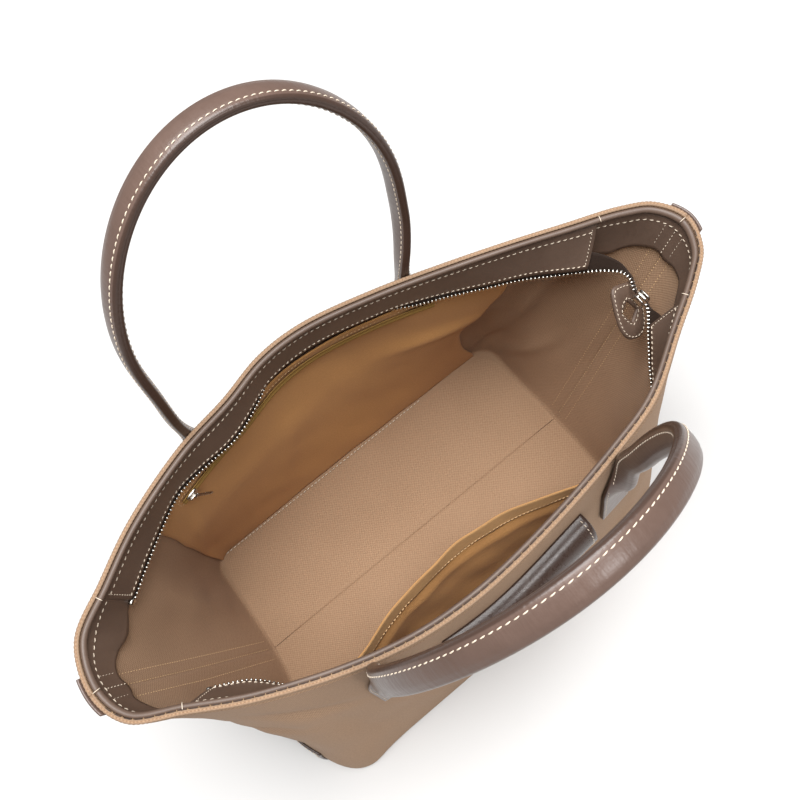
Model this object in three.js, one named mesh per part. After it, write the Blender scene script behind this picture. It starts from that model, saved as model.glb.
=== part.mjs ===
// An open canvas tote with leather handles, rolled rim, inner facings, zip and pockets.
// Millimetres, +Z up. The origin lies under the middle of the base, on the floor.
// +X runs along the bag, from its left end to its right end, and -Y is its front.

import * as THREE from 'three';

// Body: two canvas halves that meet in one seam up both ends and along the base
const HEIGHT = 236;
const CANVAS = 2;
const GAP = 0.3;
const SEAM_Y = 12;
const BASE = { length: 316, depth: 218, corner: 20 };

// The mouth seen from above: where the rim's outer edge lies behind and in front
const RIM_LEFT = { x: -218, y: 14 };
const RIM_RIGHT = { x: 249, y: 15 };
const RIM = [
  { x: -209, back: 46, front: -11 },
  { x: -180, back: 65, front: -28 },
  { x: -145, back: 85, front: -48 },
  { x: -95, back: 103, front: -69 },
  { x: -55, back: 110, front: -80 },
  { x: -22, back: 118, front: -84 },
  { x: 10, back: 118, front: -84 },
  { x: 62, back: 106, front: -79 },
  { x: 110, back: 91, front: -71 },
  { x: 147, back: 78, front: -62 },
  { x: 188, back: 62, front: -40 },
  { x: 222, back: 48, front: -21 },
  { x: 240, back: 36, front: -7 },
];

// Rings of the canvas wall: height, and how far the rounded bottom edge draws in
const SECTIONS = [
  { rise: 0, drawIn: 5 },
  { rise: 2, drawIn: 1.5 },
  { rise: 6, drawIn: 0 },
  { rise: 45, drawIn: 0 },
  { rise: 90, drawIn: 0 },
  { rise: 140, drawIn: 0 },
  { rise: 190, drawIn: 0 },
  { rise: HEIGHT, drawIn: 0 },
];

// Soft dents in the canvas, and one belly that swells out. A place round the bag counts 0 to 1
// along the back, from the left end seam to the right one, and 1 to 2 back along the front.
const FOLDS = [
  { place: 0.84, rise: 120, depth: 6, spread: 0.03, tall: 55 },
  { place: 0.9, rise: 70, depth: 4, spread: 0.04, tall: 45 },
  { place: 1.12, rise: 100, depth: 5, spread: 0.04, tall: 50 },
  { place: 1.88, rise: 110, depth: -12, spread: 0.09, tall: 70 },
  { place: 0.1, rise: 90, depth: 4, spread: 0.04, tall: 50 },
];

const SHELL_STEPS = 44;

// Rim and facings
const ROLL = { radius: 2.5, sides: 8 };
const FACING = { thickness: 1.6, seamFromEnd: 55, steps: 34, endSteps: 14, rows: 3 };
const FACING_TOP = HEIGHT - 2 * ROLL.radius - GAP;
// How far the long facings drop, and how far their lower edges stand off the wall
const BACK_EDGE = [
  { along: 0, drop: 31, lean: 8 },
  { along: 0.1, drop: 31, lean: 7 },
  { along: 0.19, drop: 29, lean: 0.6 },
  { along: 0.3, drop: 31, lean: 8 },
  { along: 0.4, drop: 28, lean: 1 },
  { along: 0.53, drop: 25, lean: 0.5 },
  { along: 0.66, drop: 28, lean: 1.5 },
  { along: 0.76, drop: 30, lean: 6 },
  { along: 0.88, drop: 31, lean: 12 },
  { along: 1, drop: 31, lean: 18 },
];
const FRONT_EDGE = [
  { along: 0, drop: 31, lean: 15 },
  { along: 0.06, drop: 31, lean: 9 },
  { along: 0.12, drop: 30, lean: 2 },
  { along: 0.88, drop: 30, lean: 3 },
  { along: 0.94, drop: 31, lean: 9 },
  { along: 1, drop: 31, lean: 17 },
];
const END_EDGE = [
  { along: 0, drop: 28, lean: 1 },
  { along: 0.16, drop: 28, lean: 1 },
  { along: 0.27, drop: 22, lean: 1 },
  { along: 0.36, drop: 20, lean: 1 },
  { along: 0.45, drop: 23, lean: 1 },
  { along: 0.5, drop: 28, lean: 1 },
  { along: 0.55, drop: 23, lean: 1 },
  { along: 0.64, drop: 20, lean: 1 },
  { along: 0.73, drop: 22, lean: 1 },
  { along: 0.84, drop: 28, lean: 1 },
  { along: 1, drop: 28, lean: 1 },
];

// Zip: teeth under the facings' lower edges, then free to the slider, where the whole tape shows
const TAPE = { thickness: 1, sewnWidth: 2, freeWidth: 12, steps: 44, freeSteps: 8 };
const CHAIN = { thickness: 2.4, width: 3.4 };
const ZIP_LEVEL = 196.7;
const ZIP_FREE_BACK = [
  { x: 202, y: 31 },
  { x: 208, y: 24 },
  { x: 209, y: 16 },
  { x: 206, y: 10 },
];
const ZIP_FREE_FRONT = [{ x: 201, y: -9 }];
const SLIDER = { x: 204, y: 1, length: 9, width: 8, height: 10 };
const STOP = { length: 4, width: 3, height: 6 };
const END_TAB = { width: 26, length: 40, thickness: 3, window: 10, corner: 10, arcSteps: 6 };
// Where the middle of the end tab hangs under the free teeth, and its turns in degrees
const END_TAB_HANG = { x: 196.7, y: 2.5, z: 184.3, tilt: 41, roll: 16, turn: -24 };

// Inner pockets
const POCKET_CLOTH = 1.2;
const POCKET_BACK = [
  { rise: 194, left: 0.2, right: 0.77, rest: 0.4, belly: 1 },
  { rise: 176, left: 0.2, right: 0.785, rest: 0.4, belly: 4 },
  { rise: 140, left: 0.2, right: 0.775, rest: 0.4, belly: 9 },
  { rise: 112, left: 0.195, right: 0.75, rest: 0.4, belly: 10 },
  { rise: 90, left: 0.195, right: 0.755, rest: 0.4, belly: 4 },
  { rise: 45, left: 0.19, right: 0.765, rest: 0.4, belly: 2 },
  { rise: 3, left: 0.19, right: 0.79, rest: 1.6, belly: 0 },
];
const POCKET_STEPS = 20;
const POCKET_ZIP = { left: 0.25, right: 0.68, top: 188, bottom: 178, thickness: 1.2, steps: 18 };
const POCKET_PULL = { length: 18, width: 5, thickness: 2 };
const SLIP = { left: 1.8, right: 1.25, hem: 140, foot: 3, belly: 52, rest: 1.6, steps: 18, rows: 6 };

// Handles: leather folded lengthwise, the fold away from the bag and the sewn edges towards it
const STRAP = { width: 16, fold: 6.5, leaf: 2.4, seat: 0.6, slit: 0.6, crease: 0.1 };
// Points along half of the strap's section: its rounded fold, its shoulder and its fullest place
const STRAP_SHAPE = { foldAcross: 0.6, foldIn: 0.25, shoulder: 3, fullest: 0.35 };
const LOOP = { halfSpan: 91, straight: 108, arch: 104, start: 200, armSteps: 4, archSteps: 26 };

// Each loop climbs off its wall: how far it stands out at its start, how steeply it leaves, how
// much it bends outwards, and how far it sways to the right
const BACK_LOOP = { centre: 0, stand: 110, slope: 0.034, bend: 0.0007, sway: 0.085 };
const FRONT_LOOP = { centre: 9, stand: 87, slope: -0.114, bend: 0.0013, sway: 0.056 };
const HANDLES = [
  { name: 'handle_back', side: 0, left: -86, right: 84, loop: BACK_LOOP },
  { name: 'handle_front', side: 1, left: -82, right: 99, loop: FRONT_LOOP },
];

// A handle's foot from the flat tab to the closed strap: 1 is open flat, 0 is folded shut
const FOOT = [
  { rise: 145, open: 1, free: 0 },
  { rise: 165, open: 1, free: 0 },
  { rise: 182, open: 1, free: 0 },
  { rise: 190, open: 0.85, free: 0 },
  { rise: 198, open: 0.55, free: 0 },
  { rise: 207, open: 0.25, free: 0 },
  { rise: 217, open: 0.06, free: 0 },
  { rise: 229, open: 0, free: 0 },
  { rise: 242, open: 0, free: 0.35 },
  { rise: 255, open: 0, free: 0.75 },
  { rise: 270, open: 0, free: 1 },
];

// Outer trims: the end strips come down to the patches
const TRIM_MEET = 45;
const SLEEVE = { left: -42, right: 73, top: 200, bottom: 168, proud: 15, thickness: 2, steps: 12, rows: 8 };
const STRIP = { width: 24, top: 233, bottom: TRIM_MEET + GAP, thickness: 1.8 };
const PATCH = { front: 90, back: 54, top: TRIM_MEET - GAP, bottom: 6, thickness: 1.8 };

// Colours and finishes
const FINISH = {
  canvas: { color: '#a0806a', roughness: 0.9, metalness: 0 },
  pocketCloth: { color: '#8b6540', roughness: 0.9, metalness: 0 },
  zipTape: { color: '#4a3a30', roughness: 0.8, metalness: 0 },
  pocketTape: { color: '#7d5c28', roughness: 0.8, metalness: 0 },
  facingLeather: { color: '#4f3d33', roughness: 0.5, metalness: 0 },
  handleLeather: { color: '#6f5f58', roughness: 0.45, metalness: 0 },
  metal: { color: '#c9c9c9', roughness: 0.25, metalness: 1 },
};

const tote = new THREE.Group();

function addPiece(name, geometry, finish) {
  const piece = new THREE.Mesh(geometry, new THREE.MeshStandardMaterial(FINISH[finish]));
  piece.name = name;
  tote.add(piece);
  return piece;
}

// Closed bodies

function closedBody(points, faces) {
  const corner = new THREE.Vector3();
  let volume = 0;
  for (const [a, b, c] of faces) {
    volume += points[a].dot(corner.crossVectors(points[b], points[c]));
  }
  const outward = volume > 0 ? faces : faces.map(([a, b, c]) => [a, c, b]);
  const geometry = new THREE.BufferGeometry();
  geometry.setFromPoints(points);
  geometry.setIndex(outward.flat());
  geometry.computeVertexNormals();
  return geometry;
}

function addQuad(faces, a, b, c, d) {
  faces.push([a, b, c], [a, c, d]);
}

// A sheet with two faces: pointAt takes the place across, the place down and the face, 0 or 1
function sheet(across, down, pointAt) {
  const points = [];
  const faces = [];
  const at = (i, j, face) => (face * (down + 1) + j) * (across + 1) + i;
  for (const face of [0, 1]) {
    for (let j = 0; j <= down; j += 1) {
      for (let i = 0; i <= across; i += 1) {
        points.push(pointAt(i / across, j / down, face));
      }
    }
  }
  for (let i = 0; i < across; i += 1) {
    for (let j = 0; j < down; j += 1) {
      addQuad(faces, at(i, j, 0), at(i + 1, j, 0), at(i + 1, j + 1, 0), at(i, j + 1, 0));
      addQuad(faces, at(i, j, 1), at(i, j + 1, 1), at(i + 1, j + 1, 1), at(i + 1, j, 1));
    }
    addQuad(faces, at(i, 0, 1), at(i + 1, 0, 1), at(i + 1, 0, 0), at(i, 0, 0));
    addQuad(faces, at(i, down, 0), at(i + 1, down, 0), at(i + 1, down, 1), at(i, down, 1));
  }
  for (let j = 0; j < down; j += 1) {
    addQuad(faces, at(0, j, 0), at(0, j + 1, 0), at(0, j + 1, 1), at(0, j, 1));
    addQuad(faces, at(across, j, 1), at(across, j + 1, 1), at(across, j + 1, 0), at(across, j, 0));
  }
  return closedBody(points, faces);
}

// Triangles of a flat outline, wound the way that the outline runs
function capFaces(outline) {
  const triangles = THREE.ShapeUtils.triangulateShape(outline, []);
  return triangles.map((triangle) => [...triangle].sort((a, b) => a - b));
}

// A bar of changing section: each ring is one section, with as many points as the next
function bar(rings, firstOutline, lastOutline) {
  const sides = rings[0].length;
  const last = (rings.length - 1) * sides;
  const points = rings.flat();
  const faces = [];
  for (let r = 0; r < rings.length - 1; r += 1) {
    for (let p = 0; p < sides; p += 1) {
      const next = (p + 1) % sides;
      const here = r * sides;
      const there = here + sides;
      addQuad(faces, here + p, there + p, there + next, here + next);
    }
  }
  for (const [a, b, c] of capFaces(firstOutline)) {
    faces.push([a, b, c]);
  }
  for (const [a, b, c] of capFaces(lastOutline)) {
    faces.push([last + a, last + c, last + b]);
  }
  return closedBody(points, faces);
}

// Straight reading between the rows of a table
function readTable(rows, key, place, column) {
  const climbs = rows[rows.length - 1][key] > rows[0][key];
  const ordered = climbs ? rows : [...rows].reverse();
  const next = ordered.findIndex((row) => row[key] >= place);
  if (next === 0) {
    return ordered[0][column];
  }
  if (next < 0) {
    return ordered[ordered.length - 1][column];
  }
  const low = ordered[next - 1];
  const high = ordered[next];
  return THREE.MathUtils.mapLinear(place, low[key], high[key], low[column], high[column]);
}

// The wall's outer face

function baseOutline(sign) {
  const x = BASE.length / 2;
  const y = (sign * BASE.depth) / 2;
  const r = BASE.corner;
  const quarter = (sign * Math.PI) / 2;
  const outline = new THREE.Path();
  outline.moveTo(-x, SEAM_Y);
  outline.lineTo(-x, y - sign * r);
  outline.absarc(-x + r, y - sign * r, r, 2 * quarter, quarter, sign > 0);
  outline.lineTo(x - r, y);
  outline.absarc(x - r, y - sign * r, r, quarter, 0, sign > 0);
  outline.lineTo(x, SEAM_Y);
  return outline;
}

const baseBack = baseOutline(1);
const baseFront = baseOutline(-1);

function baseAt(place) {
  return place <= 1 ? baseBack.getPointAt(place) : baseFront.getPointAt(2 - place);
}

const rimRow = (row, column) => new THREE.Vector3(row.x, row[column], 0);
const rimCurve = new THREE.CatmullRomCurve3(
  [
    rimRow(RIM_LEFT, 'y'),
    ...RIM.map((row) => rimRow(row, 'back')),
    rimRow(RIM_RIGHT, 'y'),
    ...[...RIM].reverse().map((row) => rimRow(row, 'front')),
  ],
  true,
  'centripetal',
);
const RIM_STEPS_PER_ROW = 20;
rimCurve.arcLengthDivisions = rimCurve.points.length * RIM_STEPS_PER_ROW;
const rimLengths = rimCurve.getLengths();
const rimLength = rimLengths[rimLengths.length - 1];
const backLength = rimLengths[(RIM.length + 1) * RIM_STEPS_PER_ROW];
const frontLength = rimLength - backLength;

function rimAt(place) {
  const run = place <= 1 ? place * backLength : backLength + (place - 1) * frontLength;
  return rimCurve.getPointAt(Math.min(run / rimLength, 1));
}

const wrap = (place) => THREE.MathUtils.euclideanModulo(place, 2);

function loftAt(place, rise) {
  const low = baseAt(wrap(place));
  const high = rimAt(wrap(place));
  const share = rise / HEIGHT;
  const x = THREE.MathUtils.lerp(low.x, high.x, share);
  const y = THREE.MathUtils.lerp(low.y, high.y, share);
  return new THREE.Vector3(x, y, rise);
}

const PLACE_STEP = 0.004;

function inwardAt(place, rise) {
  const before = loftAt(place - PLACE_STEP, rise);
  const after = loftAt(place + PLACE_STEP, rise);
  const run = after.sub(before);
  return new THREE.Vector3(run.y, -run.x, 0).normalize();
}

// How far the dents push the wall in, each measured the shorter way round
function dentAt(place, rise) {
  let dent = 0;
  for (const fold of FOLDS) {
    const along = (wrap(place - fold.place + 1) - 1) / fold.spread;
    const up = (rise - fold.rise) / fold.tall;
    dent += fold.depth * Math.exp(-along * along - up * up);
  }
  return dent;
}

// One of the wall's upright columns, dented as its rings are
function columnAt(column, rise) {
  const place = column / SHELL_STEPS;
  const rows = SECTIONS.map((section) => ({ rise: section.rise, dent: dentAt(place, section.rise) }));
  const dent = readTable(rows, 'rise', rise, 'dent');
  return loftAt(place, rise).addScaledVector(inwardAt(place, rise), dent);
}

// A point at a depth behind the canvas's outer face: below zero lies outside the bag
function wallAt(place, rise, depth) {
  const column = Math.floor(place * SHELL_STEPS);
  const share = place * SHELL_STEPS - column;
  const onWall = columnAt(column, rise).lerp(columnAt(column + 1, rise), share);
  return onWall.addScaledVector(inwardAt(place, rise), depth);
}

const PLACE_TOLERANCE = 1e-5;

// The place round the bag, on the back (0) or the front (1), where the wall has this x
function placeOf(side, x, rise) {
  let low = 0;
  let high = 1;
  const placeAt = (share) => (side === 0 ? share : 2 - share);
  while (high - low > PLACE_TOLERANCE) {
    const middle = (low + high) / 2;
    if (loftAt(placeAt(middle), rise).x < x) {
      low = middle;
    } else {
      high = middle;
    }
  }
  return placeAt((low + high) / 2);
}

// Canvas halves

function canvasHalf(side) {
  const halfGap = GAP / 2 / (side === 0 ? backLength : frontLength);
  const placeAt = (i) => THREE.MathUtils.mapLinear(i, 0, SHELL_STEPS, side + halfGap, side + 1 - halfGap);
  const columns = SHELL_STEPS + 1;
  const points = [];
  const faces = [];
  const addRow = (section, depth) => {
    for (let i = 0; i < columns; i += 1) {
      points.push(wallAt(placeAt(i), section.rise, section.drawIn + depth));
    }
  };
  SECTIONS.forEach((section) => addRow(section, 0));
  const innerSections = SECTIONS.slice(1);
  innerSections.forEach((section) => addRow(section, CANVAS));
  const top = SECTIONS.length - 1;
  const outer = (i, j) => j * columns + i;
  const inner = (i, j) => (SECTIONS.length + j - 1) * columns + i;

  for (let i = 0; i < SHELL_STEPS; i += 1) {
    for (let j = 0; j < top; j += 1) {
      addQuad(faces, outer(i, j), outer(i + 1, j), outer(i + 1, j + 1), outer(i, j + 1));
    }
    for (let j = 1; j < top; j += 1) {
      addQuad(faces, inner(i, j), inner(i, j + 1), inner(i + 1, j + 1), inner(i + 1, j));
    }
    addQuad(faces, outer(i, top), outer(i + 1, top), inner(i + 1, top), inner(i, top));
  }
  const end = SHELL_STEPS;
  for (let j = 1; j < top; j += 1) {
    addQuad(faces, outer(0, j), outer(0, j + 1), inner(0, j + 1), inner(0, j));
    addQuad(faces, inner(end, j), inner(end, j + 1), outer(end, j + 1), outer(end, j));
  }
  faces.push([outer(0, 0), outer(0, 1), inner(0, 1)]);
  faces.push([outer(end, 0), inner(end, 1), outer(end, 1)]);
  addQuad(faces, outer(0, 0), inner(0, 1), inner(end, 1), outer(end, 0));

  const flat = (row, j) => Array.from({ length: columns }, (_, i) => points[row(i, j)]);
  for (const [a, b, c] of capFaces(flat(outer, 0))) {
    faces.push([outer(a, 0), outer(c, 0), outer(b, 0)]);
  }
  for (const [a, b, c] of capFaces(flat(inner, 1))) {
    faces.push([inner(a, 1), inner(b, 1), inner(c, 1)]);
  }
  return closedBody(points, faces);
}

addPiece('canvas_back', canvasHalf(0), 'canvas');
addPiece('canvas_front', canvasHalf(1), 'canvas');

// Rolled rim

function rolledEdge(side) {
  const length = side === 0 ? backLength : frontLength;
  const halfGap = GAP / 2 / length;
  const depth = CANVAS + GAP + ROLL.radius;
  const outline = [];
  for (let k = 0; k < ROLL.sides; k += 1) {
    const angle = (2 * Math.PI * k) / ROLL.sides;
    outline.push(new THREE.Vector2(ROLL.radius * Math.cos(angle), ROLL.radius * Math.sin(angle)));
  }
  const rings = [];
  for (let i = 0; i <= SHELL_STEPS; i += 1) {
    const place = THREE.MathUtils.mapLinear(i, 0, SHELL_STEPS, side + halfGap, side + 1 - halfGap);
    rings.push(outline.map((p) => wallAt(place, HEIGHT - ROLL.radius + p.y, depth + p.x)));
  }
  return bar(rings, outline, outline);
}

addPiece('rim_edge_back', rolledEdge(0), 'facingLeather');
addPiece('rim_edge_front', rolledEdge(1), 'facingLeather');

// Facings

const backSeam = FACING.seamFromEnd / backLength;
const frontSeam = FACING.seamFromEnd / frontLength;

// A point on a facing: down counts 0 to 1 from its top to its lower edge
function facingAt(edge, along, place, down, depth) {
  const drop = readTable(edge, 'along', along, 'drop');
  const lean = readTable(edge, 'along', along, 'lean');
  return wallAt(place, FACING_TOP - down * drop, CANVAS + GAP + down * lean + depth);
}

function facing(edge, steps, firstPlace, lastPlace) {
  return sheet(steps, FACING.rows, (across, down, face) => {
    const place = THREE.MathUtils.lerp(firstPlace, lastPlace, across);
    return facingAt(edge, across, place, down, face * FACING.thickness);
  });
}

const gapAlong = GAP / backLength;
const BACK_RUN = { first: backSeam, last: 1 - backSeam };
const FRONT_RUN = { first: 2 - frontSeam, last: 1 + frontSeam };
addPiece('facing_back', facing(BACK_EDGE, FACING.steps, BACK_RUN.first, BACK_RUN.last), 'facingLeather');
addPiece('facing_front', facing(FRONT_EDGE, FACING.steps, FRONT_RUN.first, FRONT_RUN.last), 'facingLeather');
addPiece(
  'facing_end_left',
  facing(END_EDGE, FACING.endSteps, backSeam - gapAlong, -frontSeam + gapAlong),
  'facingLeather',
);
addPiece(
  'facing_end_right',
  facing(END_EDGE, FACING.endSteps, 1 - backSeam + gapAlong, 1 + frontSeam - gapAlong),
  'facingLeather',
);

// Zip

const CHAIN_BELOW_EDGE = GAP + TAPE.sewnWidth + GAP + CHAIN.width / 2;
const EDGE_READINGS = 16;

// The last free rows lead to the slider's near face
function zipCurve(edge, run, freeRows, sliderEnd) {
  const points = [];
  for (let i = 0; i <= EDGE_READINGS; i += 1) {
    const along = i / EDGE_READINGS;
    const place = THREE.MathUtils.lerp(run.first, run.last, along);
    const point = facingAt(edge, along, place, 1, FACING.thickness / 2);
    points.push(point.setZ(point.z - CHAIN_BELOW_EDGE));
  }
  for (const row of freeRows) {
    points.push(new THREE.Vector3(row.x, row.y, ZIP_LEVEL));
  }
  const meet = SLIDER.y + sliderEnd * (SLIDER.length / 2 + 2 * GAP);
  points.push(new THREE.Vector3(SLIDER.x, meet, ZIP_LEVEL));
  return new THREE.CatmullRomCurve3(points, false, 'centripetal');
}

// The place on a zip half at each step: most steps lie under the facing, the last ones on the free run
function zipPlace(curve, along) {
  const hung = EDGE_READINGS / (curve.points.length - 1);
  const hungSteps = 1 - TAPE.freeSteps / TAPE.steps;
  const free = Math.max((along - hungSteps) / (1 - hungSteps), 0);
  const t = THREE.MathUtils.lerp(Math.min(along / hungSteps, 1) * hung, 1, free);
  const run = curve.getTangent(t);
  const side = new THREE.Vector3(run.y, -run.x, 0).normalize();
  return { point: curve.getPoint(t), side, free };
}

// The tape widens where it leaves its facing and narrows again towards the slider
function zipTape(curve) {
  const foot = CHAIN.width / 2 + GAP;
  return sheet(TAPE.steps, 1, (along, down, face) => {
    const { point, side, free } = zipPlace(curve, along);
    const widening = Math.min(free * TAPE.freeSteps, 1) * (1 - free);
    const width = THREE.MathUtils.lerp(TAPE.sewnWidth, TAPE.freeWidth, widening);
    point.z += foot + (1 - down) * width;
    return point.addScaledVector(side, (face - 0.5) * TAPE.thickness);
  });
}

function zipChain(curve) {
  return sheet(TAPE.steps, 1, (along, down, face) => {
    const { point, side } = zipPlace(curve, along);
    point.z += (0.5 - down) * CHAIN.width;
    return point.addScaledVector(side, (face - 0.5) * CHAIN.thickness);
  });
}

function zipStop(curve) {
  const point = curve.getPointAt(0);
  const back = curve.getTangentAt(0).setZ(0).normalize();
  const stop = new THREE.BoxGeometry(STOP.length, STOP.width, STOP.height);
  stop.rotateZ(Math.atan2(back.y, back.x));
  const centre = point.addScaledVector(back, -(STOP.length / 2 + GAP));
  stop.translate(centre.x, centre.y, centre.z);
  return stop;
}

const zipBack = zipCurve(BACK_EDGE, BACK_RUN, ZIP_FREE_BACK, 1);
const zipFront = zipCurve(FRONT_EDGE, FRONT_RUN, ZIP_FREE_FRONT, -1);
addPiece('zip_tape_back', zipTape(zipBack), 'zipTape');
addPiece('zip_tape_front', zipTape(zipFront), 'zipTape');
addPiece('zip_chain_back', zipChain(zipBack), 'metal');
addPiece('zip_chain_front', zipChain(zipFront), 'metal');
addPiece('zip_stop_back', zipStop(zipBack), 'metal');
addPiece('zip_stop_front', zipStop(zipFront), 'metal');

const slider = new THREE.BoxGeometry(SLIDER.width, SLIDER.length, SLIDER.height);
addPiece('zip_slider', slider, 'metal').position.set(SLIDER.x, SLIDER.y, ZIP_LEVEL);

// The end tab: its lower corners rounded, a square window set on its corner
function endTab() {
  const half = END_TAB.width / 2;
  const top = END_TAB.length / 2;
  const r = END_TAB.corner;
  const outline = new THREE.Shape();
  outline.moveTo(-half, top);
  outline.lineTo(-half, r - top);
  outline.absarc(r - half, r - top, r, Math.PI, 1.5 * Math.PI, false);
  outline.absarc(half - r, r - top, r, 1.5 * Math.PI, 2 * Math.PI, false);
  outline.lineTo(half, top);
  outline.closePath();
  const reach = END_TAB.window / Math.SQRT2;
  const window = new THREE.Path();
  window.moveTo(0, reach);
  window.lineTo(reach, 0);
  window.lineTo(0, -reach);
  window.lineTo(-reach, 0);
  window.closePath();
  outline.holes.push(window);
  const tab = new THREE.ExtrudeGeometry(outline, {
    depth: END_TAB.thickness,
    bevelEnabled: false,
    curveSegments: END_TAB.arcSteps,
  });
  return tab.translate(0, 0, -END_TAB.thickness / 2);
}

const hangingTab = addPiece('zip_end_tab', endTab(), 'handleLeather');
const tabTurns = [END_TAB_HANG.tilt, END_TAB_HANG.roll, END_TAB_HANG.turn];
hangingTab.position.set(END_TAB_HANG.x, END_TAB_HANG.y, END_TAB_HANG.z);
hangingTab.rotation.set(...tabTurns.map((turn) => THREE.MathUtils.degToRad(turn)));

// Pockets

function pocketBackAt(across, rise, depth) {
  const left = readTable(POCKET_BACK, 'rise', rise, 'left');
  const right = readTable(POCKET_BACK, 'rise', rise, 'right');
  const rest = readTable(POCKET_BACK, 'rise', rise, 'rest');
  const belly = readTable(POCKET_BACK, 'rise', rise, 'belly');
  const swell = rest + belly * Math.sqrt(Math.max(Math.sin(Math.PI * across), 0));
  const place = THREE.MathUtils.lerp(left, right, across);
  return wallAt(place, rise, CANVAS + GAP + swell + depth);
}

const pocketRows = POCKET_BACK.length - 1;
const pocketBack = sheet(POCKET_STEPS, pocketRows, (across, down, face) => {
  const row = POCKET_BACK[Math.round(down * pocketRows)];
  return pocketBackAt(across, row.rise, face * POCKET_CLOTH);
});
addPiece('pocket_back', pocketBack, 'pocketCloth');

function pocketZipAt(along, rise, depth) {
  const place = THREE.MathUtils.lerp(POCKET_ZIP.left, POCKET_ZIP.right, along);
  const left = readTable(POCKET_BACK, 'rise', rise, 'left');
  const right = readTable(POCKET_BACK, 'rise', rise, 'right');
  const across = THREE.MathUtils.mapLinear(place, left, right, 0, 1);
  return pocketBackAt(across, rise, POCKET_CLOTH + 2 * GAP + depth);
}

const pocketTape = sheet(POCKET_ZIP.steps, 1, (along, down, face) => {
  const rise = THREE.MathUtils.lerp(POCKET_ZIP.top, POCKET_ZIP.bottom, down);
  return pocketZipAt(along, rise, face * POCKET_ZIP.thickness);
});
addPiece('pocket_zip_tape', pocketTape, 'pocketTape');

const pullRise = (POCKET_ZIP.top + POCKET_ZIP.bottom) / 2;
const pullDepth = POCKET_ZIP.thickness + GAP;
const pocketSlider = sheet(1, 1, (across, down, face) => {
  const along = across * (POCKET_PULL.length / (backLength * (POCKET_ZIP.right - POCKET_ZIP.left)));
  const rise = pullRise + (0.5 - down) * POCKET_PULL.width;
  return pocketZipAt(along, rise, pullDepth + face * POCKET_PULL.thickness);
});
addPiece('pocket_zip_slider', pocketSlider, 'metal');

// The slip pocket's hem stands away from the front wall, and its foot is sewn at the base
const slipPocket = sheet(SLIP.steps, SLIP.rows, (across, down, face) => {
  const place = THREE.MathUtils.lerp(SLIP.left, SLIP.right, across);
  const rise = THREE.MathUtils.lerp(SLIP.hem, SLIP.foot, down);
  const openness = Math.sin(Math.PI * across) * Math.cos((Math.PI / 2) * down);
  const stand = SLIP.rest + SLIP.belly * openness;
  return wallAt(place, rise, CANVAS + GAP + stand + face * POCKET_CLOTH);
});
addPiece('pocket_front', slipPocket, 'pocketCloth');

// Handles

// Half of the strap's section, from the fold to the slit: across the strap, and in towards the bag
function leafOutline(open) {
  const angle = (open * Math.PI) / 2;
  const along = new THREE.Vector2(Math.sin(angle), Math.cos(angle));
  const out = new THREE.Vector2(Math.cos(angle), -Math.sin(angle));
  const hinge = new THREE.Vector2(STRAP.crease, STRAP.leaf);
  const reach = STRAP.width - STRAP.leaf;
  const bulge = (STRAP.fold / 2 - STRAP.leaf) * (1 - open);
  const leafAt = (run, lift) => hinge.clone().addScaledVector(along, run).addScaledVector(out, lift);
  const shoulder = leafAt(STRAP_SHAPE.shoulder * open, STRAP.leaf);
  return [
    new THREE.Vector2(shoulder.x * STRAP_SHAPE.foldAcross, shoulder.y * STRAP_SHAPE.foldIn),
    shoulder,
    leafAt(reach * STRAP_SHAPE.fullest, STRAP.leaf + bulge),
    leafAt(reach, STRAP.leaf),
    leafAt(reach, 0),
  ];
}

function strapOutline(open) {
  const half = leafOutline(open);
  const slit = THREE.MathUtils.lerp(STRAP.width - STRAP.slit, STRAP.leaf, open);
  const mirrored = [...half].reverse().map((p) => new THREE.Vector2(-p.x, p.y));
  return [new THREE.Vector2(0, 0), ...half, new THREE.Vector2(0, slit), ...mirrored];
}

// How far a part-open strap reaches in from its fold
function strapReach(open) {
  return Math.max(...strapOutline(open).map((p) => p.y));
}

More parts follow.
